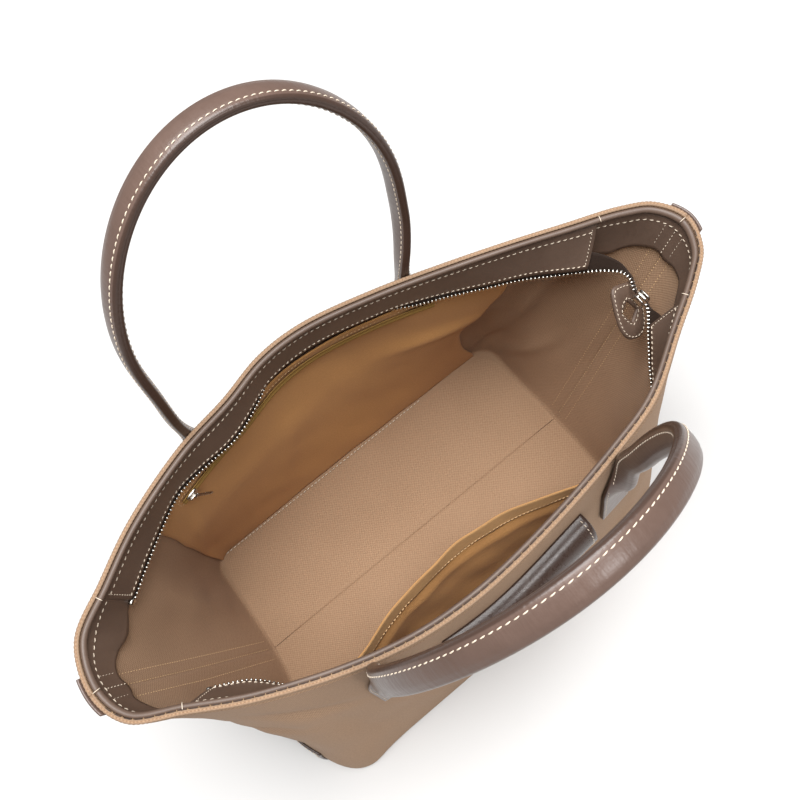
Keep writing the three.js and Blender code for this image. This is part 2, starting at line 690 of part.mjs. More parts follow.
function handle({ side, left, right, loop }) {
  const { centre, stand, slope, bend, sway } = loop;
  const sign = side === 0 ? 1 : -1;
  const outAt = (climb) => {
    const lean = slope + 2 * bend * climb;
    return new THREE.Vector3(0, sign, -lean).normalize();
  };
  const loopAt = (x, climb) => {
    const y = sign * (stand + slope * climb + bend * climb * climb);
    const middle = new THREE.Vector3(centre + x + sway * climb, y, LOOP.start + climb);
    return middle.addScaledVector(outAt(climb), STRAP.width / 2);
  };
  const stations = [];

  const addFoot = (end, rows) => {
    const x = end < 0 ? left : right;
    for (const row of rows) {
      const place = placeOf(side, x, row.rise);
      const climb = row.rise - LOOP.start;
      const onWall = wallAt(place, row.rise, -(STRAP.seat + strapReach(row.open)));
      const onLoop = loopAt(end * LOOP.halfSpan, climb);
      stations.push({
        spine: onWall.lerp(onLoop, row.free),
        inward: inwardAt(place, row.rise).lerp(outAt(climb).negate(), row.free).normalize(),
        open: row.open,
      });
    }
  };
  const addLoop = (x, climb) => {
    stations.push({ spine: loopAt(x, climb), inward: outAt(climb).negate(), open: 0 });
  };
  const armStart = FOOT[FOOT.length - 1].rise - LOOP.start;

  addFoot(-1, FOOT);
  for (let i = 1; i < LOOP.armSteps; i += 1) {
    addLoop(-LOOP.halfSpan, THREE.MathUtils.lerp(armStart, LOOP.straight, i / LOOP.armSteps));
  }
  for (let i = 0; i <= LOOP.archSteps; i += 1) {
    const turn = Math.PI * (1 - i / LOOP.archSteps);
    addLoop(LOOP.halfSpan * Math.cos(turn), LOOP.straight + LOOP.arch * Math.sin(turn));
  }
  for (let i = 1; i < LOOP.armSteps; i += 1) {
    addLoop(LOOP.halfSpan, THREE.MathUtils.lerp(LOOP.straight, armStart, i / LOOP.armSteps));
  }
  addFoot(1, [...FOOT].reverse());

  const rings = stations.map((station, i) => {
    const before = stations[Math.max(i - 1, 0)].spine;
    const after = stations[Math.min(i + 1, stations.length - 1)].spine;
    const run = after.clone().sub(before).normalize();
    const across = new THREE.Vector3().crossVectors(run, station.inward).normalize();
    return strapOutline(station.open).map((p) =>
      station.spine.clone().addScaledVector(across, p.x).addScaledVector(station.inward, p.y),
    );
  });
  return bar(rings, strapOutline(1), strapOutline(1));
}

for (const row of HANDLES) {
  addPiece(row.name, handle(row), 'handleLeather');
}

// Outer trims

const sleeveLeft = placeOf(1, SLEEVE.left, SLEEVE.top);
const sleeveRight = placeOf(1, SLEEVE.right, SLEEVE.top);
const sleeve = sheet(SLEEVE.steps, SLEEVE.rows, (across, down, face) => {
  const place = THREE.MathUtils.lerp(sleeveLeft, sleeveRight, across);
  const turn = Math.PI * down;
  const halfTall = (SLEEVE.top - SLEEVE.bottom) / 2 - face * SLEEVE.thickness;
  const proud = SLEEVE.proud - face * SLEEVE.thickness;
  const rise = (SLEEVE.top + SLEEVE.bottom) / 2 + halfTall * Math.cos(turn);
  return wallAt(place, rise, -(GAP + proud * Math.sin(turn)));
});
addPiece('front_sleeve', sleeve, 'handleLeather');

// A trim sewn flat on the outside follows the wall's own columns and rings
function outerTrim(trim, firstPlace, lastPlace) {
  const first = Math.round(firstPlace * SHELL_STEPS);
  const last = Math.round(lastPlace * SHELL_STEPS);
  const between = SECTIONS.map((section) => section.rise).filter((r) => r > trim.bottom && r < trim.top);
  const rises = [trim.bottom, ...between, trim.top];
  const rows = rises.length - 1;
  return sheet(last - first, rows, (across, up, face) => {
    const place = THREE.MathUtils.lerp(first, last, across) / SHELL_STEPS;
    return wallAt(place, rises[Math.round(up * rows)], -(GAP + face * trim.thickness));
  });
}

const stripHalf = STRIP.width / 2 / backLength;
const patchBack = PATCH.back / baseBack.getLength();
const patchFront = PATCH.front / baseFront.getLength();
addPiece('end_strip_left', outerTrim(STRIP, -stripHalf, stripHalf), 'handleLeather');
addPiece('end_strip_right', outerTrim(STRIP, 1 - stripHalf, 1 + stripHalf), 'handleLeather');
addPiece('base_patch_left', outerTrim(PATCH, -patchFront, patchBack), 'facingLeather');
addPiece('base_patch_right', outerTrim(PATCH, 1 - patchBack, 1 + patchFront), 'facingLeather');

export default tote;
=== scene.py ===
# %% [markdown]
# # An open canvas tote with leather trim
# The bag stands by itself on a flat base, its mouth open. Two canvas halves make the body, dark leather
# finishes the mouth, a zip hangs from the leather facings, and two folded handles rise from the walls.
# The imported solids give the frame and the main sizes. This lesson makes each piece again, only finer.

import bpy
import numpy as np
from mathutils import Matrix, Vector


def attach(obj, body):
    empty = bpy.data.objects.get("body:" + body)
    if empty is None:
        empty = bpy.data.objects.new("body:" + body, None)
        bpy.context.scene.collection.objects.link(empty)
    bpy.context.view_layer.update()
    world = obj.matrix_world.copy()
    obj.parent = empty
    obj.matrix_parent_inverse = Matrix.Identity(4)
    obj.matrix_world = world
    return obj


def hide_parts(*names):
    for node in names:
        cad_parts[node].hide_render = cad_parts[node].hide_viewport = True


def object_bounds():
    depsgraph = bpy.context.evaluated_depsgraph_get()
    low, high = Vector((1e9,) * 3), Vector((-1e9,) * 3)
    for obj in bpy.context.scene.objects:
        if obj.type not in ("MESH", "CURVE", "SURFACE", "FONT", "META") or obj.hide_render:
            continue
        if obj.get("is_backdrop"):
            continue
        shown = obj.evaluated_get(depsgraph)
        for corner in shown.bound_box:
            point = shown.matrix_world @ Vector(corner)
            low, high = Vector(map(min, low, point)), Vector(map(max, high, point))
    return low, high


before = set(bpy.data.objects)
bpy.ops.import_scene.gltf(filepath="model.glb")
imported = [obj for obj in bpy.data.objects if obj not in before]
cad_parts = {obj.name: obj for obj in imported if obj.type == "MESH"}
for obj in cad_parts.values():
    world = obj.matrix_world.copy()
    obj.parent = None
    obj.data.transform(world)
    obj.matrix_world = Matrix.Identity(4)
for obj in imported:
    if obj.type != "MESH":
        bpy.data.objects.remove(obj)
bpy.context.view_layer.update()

# %% [markdown]
# ## The camera
# The photograph looks steeply down into the bag from the front left, with the camera rolled a little.
# Three directions say that exactly: what is right in the picture, what is down, and what is ahead.
# Euler angles could say it too, but a matrix made of the three directions is easier to read and check.

# %% Camera
MM = 0.001
CAMERA_PLACE = np.array([-39.36, -124.45, 730.85])
PICTURE_RIGHT = np.array([0.77738, -0.62158, -0.09647])
PICTURE_DOWN = np.array([-0.61538, -0.71974, -0.32137])
SENSOR_WIDTH = 36
FOCAL_PIXELS = 850
PICTURE_PIXELS = 800


def add_object(name, data):
    """An object with this data, linked into the scene."""
    thing = bpy.data.objects.new(name, data)
    bpy.context.scene.collection.objects.link(thing)
    return thing


def standing(right, up, back, place):
    """The matrix of a camera or lamp with these axes at a place in metres."""
    return Matrix([*np.column_stack([right, up, back, place]).tolist(), [0, 0, 0, 1]])


camera = add_object("camera", bpy.data.cameras.new("camera"))
ahead = np.cross(PICTURE_RIGHT, PICTURE_DOWN)
camera.matrix_world = standing(PICTURE_RIGHT, -PICTURE_DOWN, -ahead, CAMERA_PLACE * MM)
camera.data.sensor_width = SENSOR_WIDTH
camera.data.lens = SENSOR_WIDTH * FOCAL_PIXELS / PICTURE_PIXELS
bpy.context.scene.camera = camera
print("lens, mm:", camera.data.lens)

# %% [markdown]
# ## Making meshes
# Every piece here is worked out as points in millimetres and then handed to Blender as one mesh.
# A cloth or leather piece is a grid with two faces and a rounded cut edge, so one helper makes all of them.
# The helper also stores flat cloth coordinates in metres, which the weave and grain patterns follow.

# %% Mesh helpers
RIGHT, BACK, UP = np.eye(3)
EDGE_ROUND = 0.35


def add_piece(name, points, faces, material, slot, stands_for=(), cloth=None):
    """A closed mesh from points in millimetres, riding on the bag's one body."""
    mesh = bpy.data.meshes.new(name)
    mesh.from_pydata((np.asarray(points, float) * MM).tolist(), [], [list(face) for face in faces])
    mesh.materials.append(material)
    mesh.polygons.foreach_set("use_smooth", np.ones(len(mesh.polygons), bool))
    if cloth is not None:
        layer = mesh.uv_layers.new(name="cloth")
        corner = np.empty(len(mesh.loops), np.int32)
        mesh.loops.foreach_get("vertex_index", corner)
        layer.data.foreach_set("uv", (np.asarray(cloth)[corner] * MM).ravel())
    mesh.validate()
    mesh.update()
    piece = add_object(name, mesh)
    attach(piece, "root")
    if stands_for:
        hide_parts(*stands_for)
    return piece


def outward(points, faces):
    """The faces, turned over if they enclose a negative volume."""
    points = np.asarray(points)
    volume = 0.0
    for size in {len(face) for face in faces}:
        corners = points[np.array([face for face in faces if len(face) == size])]
        for k in range(1, size - 1):
            volume += np.einsum("ij,ij->", corners[:, 0], np.cross(corners[:, k], corners[:, k + 1]))
    return faces if volume > 0 else [tuple(reversed(face)) for face in faces]


def grid_faces(rows, columns, first=0, closed=False):
    """Quads of a grid of points, with the last column joined to the first one if it is closed."""
    faces = []
    for r in range(rows - 1):
        for c in range(columns if closed else columns - 1):
            here, beside = first + r * columns + c, first + r * columns + (c + 1) % columns
            faces.append((here, beside, beside + columns, here + columns))
    return faces


def rim_of(rows, columns):
    """The points round the edge of a grid, in order."""
    top = list(range(columns - 1))
    right = [r * columns + columns - 1 for r in range(rows - 1)]
    bottom = [(rows - 1) * columns + c for c in range(columns - 1, 0, -1)]
    left = [r * columns for r in range(rows - 1, 0, -1)]
    return np.array(top + right + bottom + left)


def add_sheet(name, front, back, cloth, material, slot, stands_for=()):
    """A piece with two faces and a rounded edge between them, from two grids and their cloth coordinates."""
    rows, columns, _ = front.shape
    count = rows * columns
    front, back = front.reshape(-1, 3), back.reshape(-1, 3)
    rim = rim_of(rows, columns)
    r, c = rim // columns, rim % columns
    inner = np.clip(r, 1, rows - 2) * columns + np.clip(c, 1, columns - 2)
    middle = (front + back) / 2
    away = middle[rim] - middle[inner]
    away /= np.maximum(np.linalg.norm(away, axis=1, keepdims=True), 1e-6)
    thick = np.linalg.norm(front[rim] - back[rim], axis=1, keepdims=True)
    points = np.concatenate([front, back, middle[rim] + away * thick * EDGE_ROUND])
    faces = grid_faces(rows, columns)
    faces += [tuple(reversed(face)) for face in grid_faces(rows, columns, count)]
    turn = len(rim)
    for k in range(turn):
        a, b = rim[k], rim[(k + 1) % turn]
        edge_a, edge_b = 2 * count + k, 2 * count + (k + 1) % turn
        faces += [(b, a, edge_a, edge_b), (edge_b, edge_a, a + count, b + count)]
    flat = np.asarray(cloth).reshape(-1, 2)
    cloth = np.concatenate([flat, flat, flat[rim]])
    return add_piece(name, points, outward(points, faces), material, slot, stands_for, cloth)


def tube_mesh(rings):
    """Points and faces of a bar that runs through rings of points and is closed at both ends."""
    count, sides, _ = rings.shape
    points = np.concatenate([rings.reshape(-1, 3), [rings[0].mean(0), rings[-1].mean(0)]])
    faces = grid_faces(count, sides, closed=True)
    last = (count - 1) * sides
    for k in range(sides):
        beside = (k + 1) % sides
        faces += [(k, len(points) - 2, beside), (last + beside, len(points) - 1, last + k)]
    return points, outward(points, faces)


def merge(parts):
    """Several meshes as one list of points and faces."""
    points, faces, count = [], [], 0
    for part_points, part_faces in parts:
        points.append(part_points)
        faces += [tuple(k + count for k in face) for face in part_faces]
        count += len(part_points)
    return np.concatenate(points), faces


def unit(vectors):
    """The same directions, one long."""
    return vectors / np.maximum(np.linalg.norm(vectors, axis=-1, keepdims=True), 1e-9)


def lengths_along(points):
    """How far along a line each of its points lies."""
    return np.concatenate([[0], np.cumsum(np.linalg.norm(np.diff(points, axis=0), axis=1))])


def ease(share):
    """From 0 to 1 with a soft start and a soft end."""
    return share * share * (3 - 2 * share)


print("helpers ready")

# %% [markdown]
# ## Materials
# Each finish starts from what the real one is. Colours are given as hex values, turned to
# the linear light that Blender works in. Patterns get their scale from a real size: a Wave texture's band
# repeats every 0.314 of its scaled coordinate, so a thread spacing in millimetres gives the scale directly.

# %% Colour and node helpers
WAVE_BAND = 2 * np.pi / 20


def from_hex(code):
    """Linear RGBA of an sRGB hex colour."""
    channels = np.array([int(code[k : k + 2], 16) for k in (1, 3, 5)]) / 255
    linear = np.where(channels <= 0.04045, channels / 12.92, ((channels + 0.055) / 1.055) ** 2.4)
    return (*linear.tolist(), 1.0)


def add_node(tree, kind, inputs=None, **settings):
    """A node with its settings, its input values and its links."""
    node = tree.nodes.new(kind)
    for name, value in settings.items():
        setattr(node, name, value)
    for name, value in (inputs or {}).items():
        if isinstance(value, bpy.types.NodeSocket):
            tree.links.new(value, node.inputs[name])
        else:
            node.inputs[name].default_value = value
    return node


def new_material(name, **shader_values):
    """A material, its tree and its shader, with constant values set on the shader's own sockets."""
    material = bpy.data.materials.new(name)
    material.use_nodes = True
    shader = material.node_tree.nodes["Principled BSDF"]
    for socket, value in shader_values.items():
        shader.inputs[socket.replace("_", " ")].default_value = value
    return material, material.node_tree, shader


def add_noise(tree, where, size_mm, detail, output="Fac"):
    """Noise with lumps of about this size."""
    inputs = {"Vector": where, "Scale": 1 / (size_mm * MM), "Detail": detail}
    return add_node(tree, "ShaderNodeTexNoise", inputs).outputs[output]


def times_plus(tree, value, times, plus):
    """A value multiplied by one number or socket, with another added."""
    inputs = {0: value, 1: times, 2: plus}
    return add_node(tree, "ShaderNodeMath", inputs, operation="MULTIPLY_ADD").outputs[0]


def mix_colours(tree, share, first, second):
    """A colour between two others."""
    inputs = {"Factor": share, "A": first, "B": second}
    return add_node(tree, "ShaderNodeMix", inputs, data_type="RGBA").outputs["Result"]


def roughen(tree, shader, pattern, low, high):
    """Roughness that follows a pattern between two values."""
    gloss = add_node(tree, "ShaderNodeMapRange", {"Value": pattern, "To Min": low, "To Max": high})
    tree.links.new(gloss.outputs[0], shader.inputs["Roughness"])


def emboss(tree, shader, height, strength, depth_mm):
    """A bump of so many millimetres that follows a height."""
    inputs = {"Height": height, "Strength": strength, "Distance": depth_mm * MM}
    tree.links.new(add_node(tree, "ShaderNodeBump", inputs).outputs["Normal"], shader.inputs["Normal"])


print("one band of a 1 mm pattern has scale", round(WAVE_BAND / MM, 1))

# %% [markdown]
# ### Woven cloths
# Canvas is a plain weave of thick cotton threads: each thread goes over one and under one, so it looks like
# a tiny checker of bumps, dull, with slubs and uneven dye. Real threads lie about 0.6 mm apart, which is
# under a pixel here, so the weave is drawn coarser. Two crossed Wave textures multiplied together give the
# checker. Loose yarn has no smooth skin to mirror light, so the specular level is low.

# %% Woven cloth
WOBBLE_MM, SLUB_MM, DYE_MM = 6, 1.6, 70
# How far threads wander, in threads, and how much slubs and dye change the tone
WANDER, SLUB_TONE, DYE_TONE, MIDDLE_TONE = 0.35, 0.6, 0.25, 0.075
CHECKER_PEAK = 0.25
CLOTH_GLOSS_SPREAD = 0.06


def woven_cloth(name, light, dark, thread_mm, depth_mm, rough, sheen, contrast=0.45):
    """A plain weave: two crossed bands make the checker, and noise makes slubs and uneven dye."""
    material, tree, shader = new_material(
        name, Sheen_Weight=sheen, Sheen_Roughness=0.5, IOR=1.5, Specular_IOR_Level=0.15)
    flat = add_node(tree, "ShaderNodeUVMap", uv_map="cloth").outputs["UV"]
    wobble = add_noise(tree, flat, WOBBLE_MM, 3, "Color")
    inputs = {0: wobble, "Scale": WANDER * thread_mm * MM}
    shift = add_node(tree, "ShaderNodeVectorMath", inputs, operation="SCALE")
    place = add_node(tree, "ShaderNodeVectorMath", {0: flat, 1: shift.outputs["Vector"]}).outputs["Vector"]
    levels = []
    for axis in "XY":
        inputs = {"Vector": place, "Scale": WAVE_BAND / (thread_mm * MM)}
        band = add_node(tree, "ShaderNodeTexWave", inputs, bands_direction=axis).outputs["Fac"]
        levels.append(add_node(tree, "ShaderNodeMath", {0: band, 1: 0.5}, operation="SUBTRACT").outputs[0])
    checker = add_node(tree, "ShaderNodeMath", {0: levels[0], 1: levels[1]}, operation="MULTIPLY")
    inputs = {"Value": checker.outputs[0], "From Min": -CHECKER_PEAK, "From Max": CHECKER_PEAK}
    weave = add_node(tree, "ShaderNodeMapRange", inputs).outputs[0]
    slub = add_noise(tree, flat, SLUB_MM, 4)
    dye = add_noise(tree, flat, DYE_MM, 3)
    yarn = times_plus(tree, slub, SLUB_TONE, MIDDLE_TONE - contrast / 2)
    tone = times_plus(tree, dye, DYE_TONE, times_plus(tree, weave, contrast, yarn))
    colour = mix_colours(tree, tone, from_hex(dark), from_hex(light))
    tree.links.new(colour, shader.inputs["Base Color"])
    roughen(tree, shader, slub, rough - CLOTH_GLOSS_SPREAD, rough + CLOTH_GLOSS_SPREAD)
    emboss(tree, shader, times_plus(tree, slub, SLUB_TONE, weave), 0.5, depth_mm)
    return material


# Heavy dyed cotton canvas: matt, light brown, the weave just seen. Threads drawn 1.1 mm apart, not 0.6.
CANVAS_WEAVE = woven_cloth("plain_woven_cotton_canvas", "#b09175", "#7c6049", 2.2, 0.3, 0.88, 0.05, 0.55)
# Lining drill, thinner and yarn-dyed: smoother, warmer and more even. Threads drawn 0.6 mm apart, not 0.4.
LINING_WEAVE = woven_cloth("yarn_dyed_cotton_lining", "#cc9a61", "#a27445", 1.2, 0.15, 0.85, 0.08)
# The slip pocket's folded hem is the same drill, drawn greyer: painted light, the pale look of the lit hem
# band against the shaded pocket.
LIT_HEM_WEAVE = woven_cloth("folded_cotton_hem", "#b08a5f", "#8c6a44", 1.2, 0.15, 0.85, 0.08)
# Zip tape is polyester woven in fine ribs about 0.5 mm apart: dark and slightly shiny.
ZIP_RIBS = woven_cloth("woven_polyester_zip_tape", "#3c2f28", "#1f1712", 1.1, 0.25, 0.6, 0.0)
# Pocket tape is olive cotton, duller than the zip's.
POCKET_RIBS = woven_cloth("woven_cotton_pocket_tape", "#a5834a", "#7f6232", 0.9, 0.2, 0.75, 0.0)
print("cloths:", CANVAS_WEAVE.name, LINING_WEAVE.name, ZIP_RIBS.name, POCKET_RIBS.name)

# %% [markdown]
# ### Leathers
# The trims are smooth, tanned and waxed calf leather. It has a satin gloss, a grain of fine pebbles under
# half a millimetre wide, and small changes of tone where wax lies thicker. A Voronoi texture makes the
# pebbles and noise makes the tone. The grain is drawn about 1 mm wide so that a pixel can hold it.

# %% Leather
CUT_EDGE = "cut_edge"
CREASE_MM, WAX_MM, WRINKLE_MM = 3, 28, 2.5
WAX_TONE, CREASE_TONE, CREASE_HEIGHT = 0.8, 0.3, 0.8
LEATHER_GLOSS_SPREAD = 0.08
# Wrinkles run across a strap: the pattern is drawn out ten times that way
WRINKLE_DRAWN = (1.0, 0.1, 1.0)


def leather(name, light, dark, grain_mm, depth_mm, rough, edge_paint, wrinkle=0.0):
    """Waxed leather: pebbles for grain, noise for tone and gloss, and wrinkles where it bends."""
    material, tree, shader = new_material(name, IOR=1.5, Coat_Weight=0.05, Coat_Roughness=0.3)
    where = add_node(tree, "ShaderNodeTexCoord").outputs["Object"]
    inputs = {"Vector": where, "Scale": 1 / (grain_mm * MM), "Smoothness": 0.6}
    pebbles = add_node(tree, "ShaderNodeTexVoronoi", inputs, feature="SMOOTH_F1").outputs["Distance"]
    creases = add_noise(tree, where, CREASE_MM, 5)
    wax = add_noise(tree, where, WAX_MM, 4)
    tone = times_plus(tree, creases, CREASE_TONE, times_plus(tree, wax, WAX_TONE, 0.0))
    colour = mix_colours(tree, tone, from_hex(dark), from_hex(light))
    cut_edge = add_node(tree, "ShaderNodeAttribute", attribute_name=CUT_EDGE).outputs["Fac"]
    painted = mix_colours(tree, cut_edge, colour, from_hex(edge_paint))
    tree.links.new(painted, shader.inputs["Base Color"])
    roughen(tree, shader, creases, rough - LEATHER_GLOSS_SPREAD, rough + LEATHER_GLOSS_SPREAD)
    flat = add_node(tree, "ShaderNodeUVMap", uv_map="cloth").outputs["UV"]
    drawn = add_node(tree, "ShaderNodeVectorMath", {0: flat, 1: WRINKLE_DRAWN}, operation="MULTIPLY")
    folds = add_noise(tree, drawn.outputs["Vector"], WRINKLE_MM, 2)
    grain = times_plus(tree, creases, CREASE_HEIGHT, pebbles)
    emboss(tree, shader, times_plus(tree, folds, wrinkle, grain), 0.35, depth_mm)
    return material


# Facing leather is thin, dark and satin. Strap leather is thicker and glossier, with fine wrinkles across
# its bend and painted cut edges. The leather of sleeve and patches is the darkest and the most polished.
FACING_LEATHER = leather("waxed_calf_facing_leather", "#685549", "#4c3b31", 0.9, 0.12, 0.48, "#3d2d25")
STRAP_LEATHER = leather("waxed_bridle_strap_leather", "#665249", "#4e3d35", 1.1, 0.1, 0.34, "#43322a", 6.0)
TRIM_LEATHER = leather("polished_embossed_trim_leather", "#43322a", "#2c1f19", 1.0, 0.12, 0.28, "#2a1e18")
print("leathers:", FACING_LEATHER.name, STRAP_LEATHER.name, TRIM_LEATHER.name)

# %% [markdown]
# ### Thread and metal
# The seams are sewn with waxed linen, a thick pale thread of two twisted plies, matt with a faint lustre.
# The zip is nickel-plated brass. As a true metal it tints its reflections, and its IOR is left alone.

# %% Thread and metal
FIBRE_MM, FIBRE_DEPTH_MM = 0.8, 0.15
TUMBLE_MM = 2


def linen_thread(name, light, dark):
    """Waxed linen: pale, softly lustrous, with flecks of darker fibre."""
    material, tree, shader = new_material(name, Roughness=0.6, IOR=1.5)
    fibre = add_noise(tree, add_node(tree, "ShaderNodeTexCoord").outputs["Object"], FIBRE_MM, 3)
    colour = mix_colours(tree, fibre, from_hex(dark), from_hex(light))
    tree.links.new(colour, shader.inputs["Base Color"])
    emboss(tree, shader, fibre, 0.4, FIBRE_DEPTH_MM)
    return material


def plated_metal(name, colour, smooth, worn):
    """Plated brass: bright, with faint tumbling marks in its gloss."""
    material, tree, shader = new_material(name, Metallic=1.0, Base_Color=from_hex(colour))
    marks = add_noise(tree, add_node(tree, "ShaderNodeTexCoord").outputs["Object"], TUMBLE_MM, 4)
    roughen(tree, shader, marks, smooth, worn)
    return material


LINEN = linen_thread("waxed_linen_thread", "#e2d4c3", "#c2b099")
# Cotton thread is finer and yellower. The hem cord is the same cotton, thickly twisted. One thread is dark.
TAN_THREAD = linen_thread("tan_cotton_thread", "#d8b689", "#b8966c")
CORD_COTTON = linen_thread("twisted_cotton_hem_cord", "#967a60", "#765d47")
DARK_THREAD = linen_thread("dark_waxed_thread", "#4a3b34", "#2c211c")
NICKEL = plated_metal("nickel_plated_brass", "#bdb9b2", 0.17, 0.37)
print("thread and metal:", LINEN.name, TAN_THREAD.name, CORD_COTTON.name, DARK_THREAD.name, NICKEL.name)

# %% [markdown]
# ## The wall of the bag
# The body is a loft: a rounded rectangle at the base, a soft eye shape at the mouth, and straight lines
# between. A place round the bag counts 0 to 1 along the back, from the left end seam to the right one, and
# 1 to 2 back along the front. One function turns place, rise and depth into a point, and every piece on the
# wall uses it.

# %% Outlines of base and mouth
HEIGHT = 236
CANVAS = 2
GAP = 0.3
SEAM_Y = 12
BASE_LENGTH, BASE_DEPTH, BASE_CORNER = 316, 218, 20
RIM_LEFT = (-218, 14)
RIM_RIGHT = (249, 15)
# Along the mouth: x, then where its outer edge lies behind and in front
RIM = [
    (-209, 46, -11), (-180, 65, -28), (-145, 85, -48), (-95, 103, -69), (-55, 110, -80), (-22, 118, -84),
    (10, 118, -84), (62, 106, -79), (110, 91, -71), (147, 78, -62), (188, 62, -40), (222, 48, -21),
    (240, 36, -7),
]
RIM_STEPS = 24


def smooth_curve(points, closed, steps):
    """Centripetal Catmull-Rom through the points, with so many steps between each pair."""
    points = np.asarray(points, float)
    if closed:
        around = np.concatenate([points[-1:], points, points[:2]])
    else:
        around = np.concatenate([2 * points[:1] - points[1:2], points, 2 * points[-1:] - points[-2:-1]])
    share = np.linspace(0, 1, steps, endpoint=False)[:, None]
    pieces = []
    for p0, p1, p2, p3 in zip(around, around[1:], around[2:], around[3:]):
        d0, d1, d2 = (max(np.sqrt(np.linalg.norm(b - a)), 1e-4) for a, b in ((p0, p1), (p1, p2), (p2, p3)))
        leave = d1 * ((p1 - p0) / d0 - (p2 - p0) / (d0 + d1) + (p2 - p1) / d1)
        reach = d1 * ((p2 - p1) / d1 - (p3 - p1) / (d1 + d2) + (p3 - p2) / d2)
        square = 3 * (p2 - p1) - 2 * leave - reach
        cube = 2 * (p1 - p2) + leave + reach
        pieces.append(p1 + share * leave + share**2 * square + share**3 * cube)
    end = points[:1] if closed else points[-1:]
    return np.concatenate([*pieces, end])


class Path:
    """A line of points, read by its share of length from 0 to 1."""

    def __init__(self, points):
        self.points = np.asarray(points, float)
        self.run = lengths_along(self.points)
        self.length = self.run[-1]

    def at(self, share):
        run = np.clip(np.asarray(share, float), 0, 1) * self.length
        return np.stack([np.interp(run, self.run, column) for column in self.points.T], axis=-1)

    def along(self, share):
        step = 0.5 / self.length
        return unit(self.at(np.asarray(share) + step) - self.at(np.asarray(share) - step))

    def carry(self, values, share):
        """Values given at the line's points, or one for all of them, read at a share of its length."""
        values = np.broadcast_to(np.asarray(values, float), self.points.shape)
        return np.stack([np.interp(share, self.run / self.length, column) for column in values.T], axis=-1)


def base_half(sign):
    """Half of the base's rounded rectangle, from the left end seam to the right one."""
    x, y, r = BASE_LENGTH / 2, sign * BASE_DEPTH / 2, BASE_CORNER
    turn = np.linspace(0, np.pi / 2, 12)
    left = np.column_stack([-x + r - r * np.cos(turn), y - sign * r + sign * r * np.sin(turn)])
    right = left[::-1] * [-1, 1]
    return Path(np.concatenate([[(-x, SEAM_Y)], left, right, [(x, SEAM_Y)]]))


behind = [(x, back) for x, back, _ in RIM]
in_front = [(x, front) for x, _, front in reversed(RIM)]
mouth = smooth_curve([RIM_LEFT, *behind, RIM_RIGHT, *in_front], True, RIM_STEPS)
half_way = (len(RIM) + 1) * RIM_STEPS
rim_back = Path(mouth[: half_way + 1])
rim_front = Path(mouth[half_way:][::-1])
base_back, base_front = base_half(1), base_half(-1)
print("mouth, mm round:", round(rim_back.length + rim_front.length), "long:", RIM_RIGHT[0] - RIM_LEFT[0])

# %% [markdown]
# ### Soft dents and creases
# Cloth that stands by itself never stays flat. The large dents are those of the solids. The creases are
# narrow folds that run along a line on the wall, and a slow ripple keeps the wide panels from looking
# ironed. A cloth simulation could find such folds, but these have to lie where the photograph shows them,
# so they are placed.

# %% Dents, creases and ripple
# Dents: place, rise, depth inward, spread round the bag, spread up the wall. The last three are finer than
# the solids: the back wall bows out behind its pocket, and the left front foot of the bag is pushed out.
DENTS = [
    (0.84, 120, 6, 0.03, 55), (0.9, 70, 4, 0.04, 45), (1.12, 100, 5, 0.04, 50), (1.88, 110, -12, 0.09, 70),
    (0.1, 90, 4, 0.04, 50), (0.52, 150, -13, 0.2, 70), (0.5, 60, -6, 0.25, 45), (1.86, 15, -15, 0.08, 45),
]
# Creases: from a place and rise, to a place and rise, depth inward, half width in mm
CREASES = [
    (0.80, 30, 0.87, 200, 2.6, 9), (0.84, 20, 0.93, 90, 2.0, 7), (0.79, 12, 0.83, 60, -1.8, 6),
    (0.07, 20, 0.12, 150, 1.8, 9), (0.15, 15, 0.10, 90, -1.6, 8), (1.91, 15, 1.86, 120, 1.6, 8),
    (1.70, 40, 1.78, 190, 1.8, 10), (1.62, 25, 1.70, 150, -1.6, 9), (1.85, 60, 1.90, 180, 1.4, 8),
    (1.20, 20, 1.13, 170, 1.8, 9), (1.30, 40, 1.24, 160, -1.5, 9), (1.50, 10, 1.58, 90, 1.2, 9),
    (0.35, 20, 0.45, 140, 1.2, 12), (0.60, 30, 0.52, 150, 1.2, 12), (0.95, 40, 1.02, 190, 1.2, 8),
    (1.84, 198, 1.72, 168, 3.0, 7), (1.91, 146, 1.79, 153, 3.2, 8), (0.60, 128, 0.80, 112, 3.0, 9),
    (0.20, 60, 0.26, 170, 1.8, 6),
]
WALL_LENGTH = 531
RIPPLE_MM, RIPPLE_SIZE, RIPPLE_SEED, RIPPLE_WAVES = 0.5, 90, 3, 7
# The ripple is held still near the hem, the foot and the end seams, over so many mm
CALM_TOP, CALM_FOOT, CALM_SEAM = 40, 25, 20
PLACE_STEP = 0.004


def ripple(u, v, size, seed):
    """A slow, smooth unevenness of about plus or minus one, the same each run."""
    rng = np.random.default_rng(seed)
    total = np.zeros(np.broadcast(u, v).shape)
    for _ in range(RIPPLE_WAVES):
        turn, phase = rng.uniform(0, 2 * np.pi, 2)
        wave = 2 * np.pi / (size * rng.uniform(0.6, 1.6))
        total = total + np.sin(wave * (u * np.cos(turn) + v * np.sin(turn)) + phase)
    return total / 3


def from_place(place, middle):
    """How far round the bag a place lies from another, the shorter way."""
    return np.mod(place - middle + 1, 2) - 1


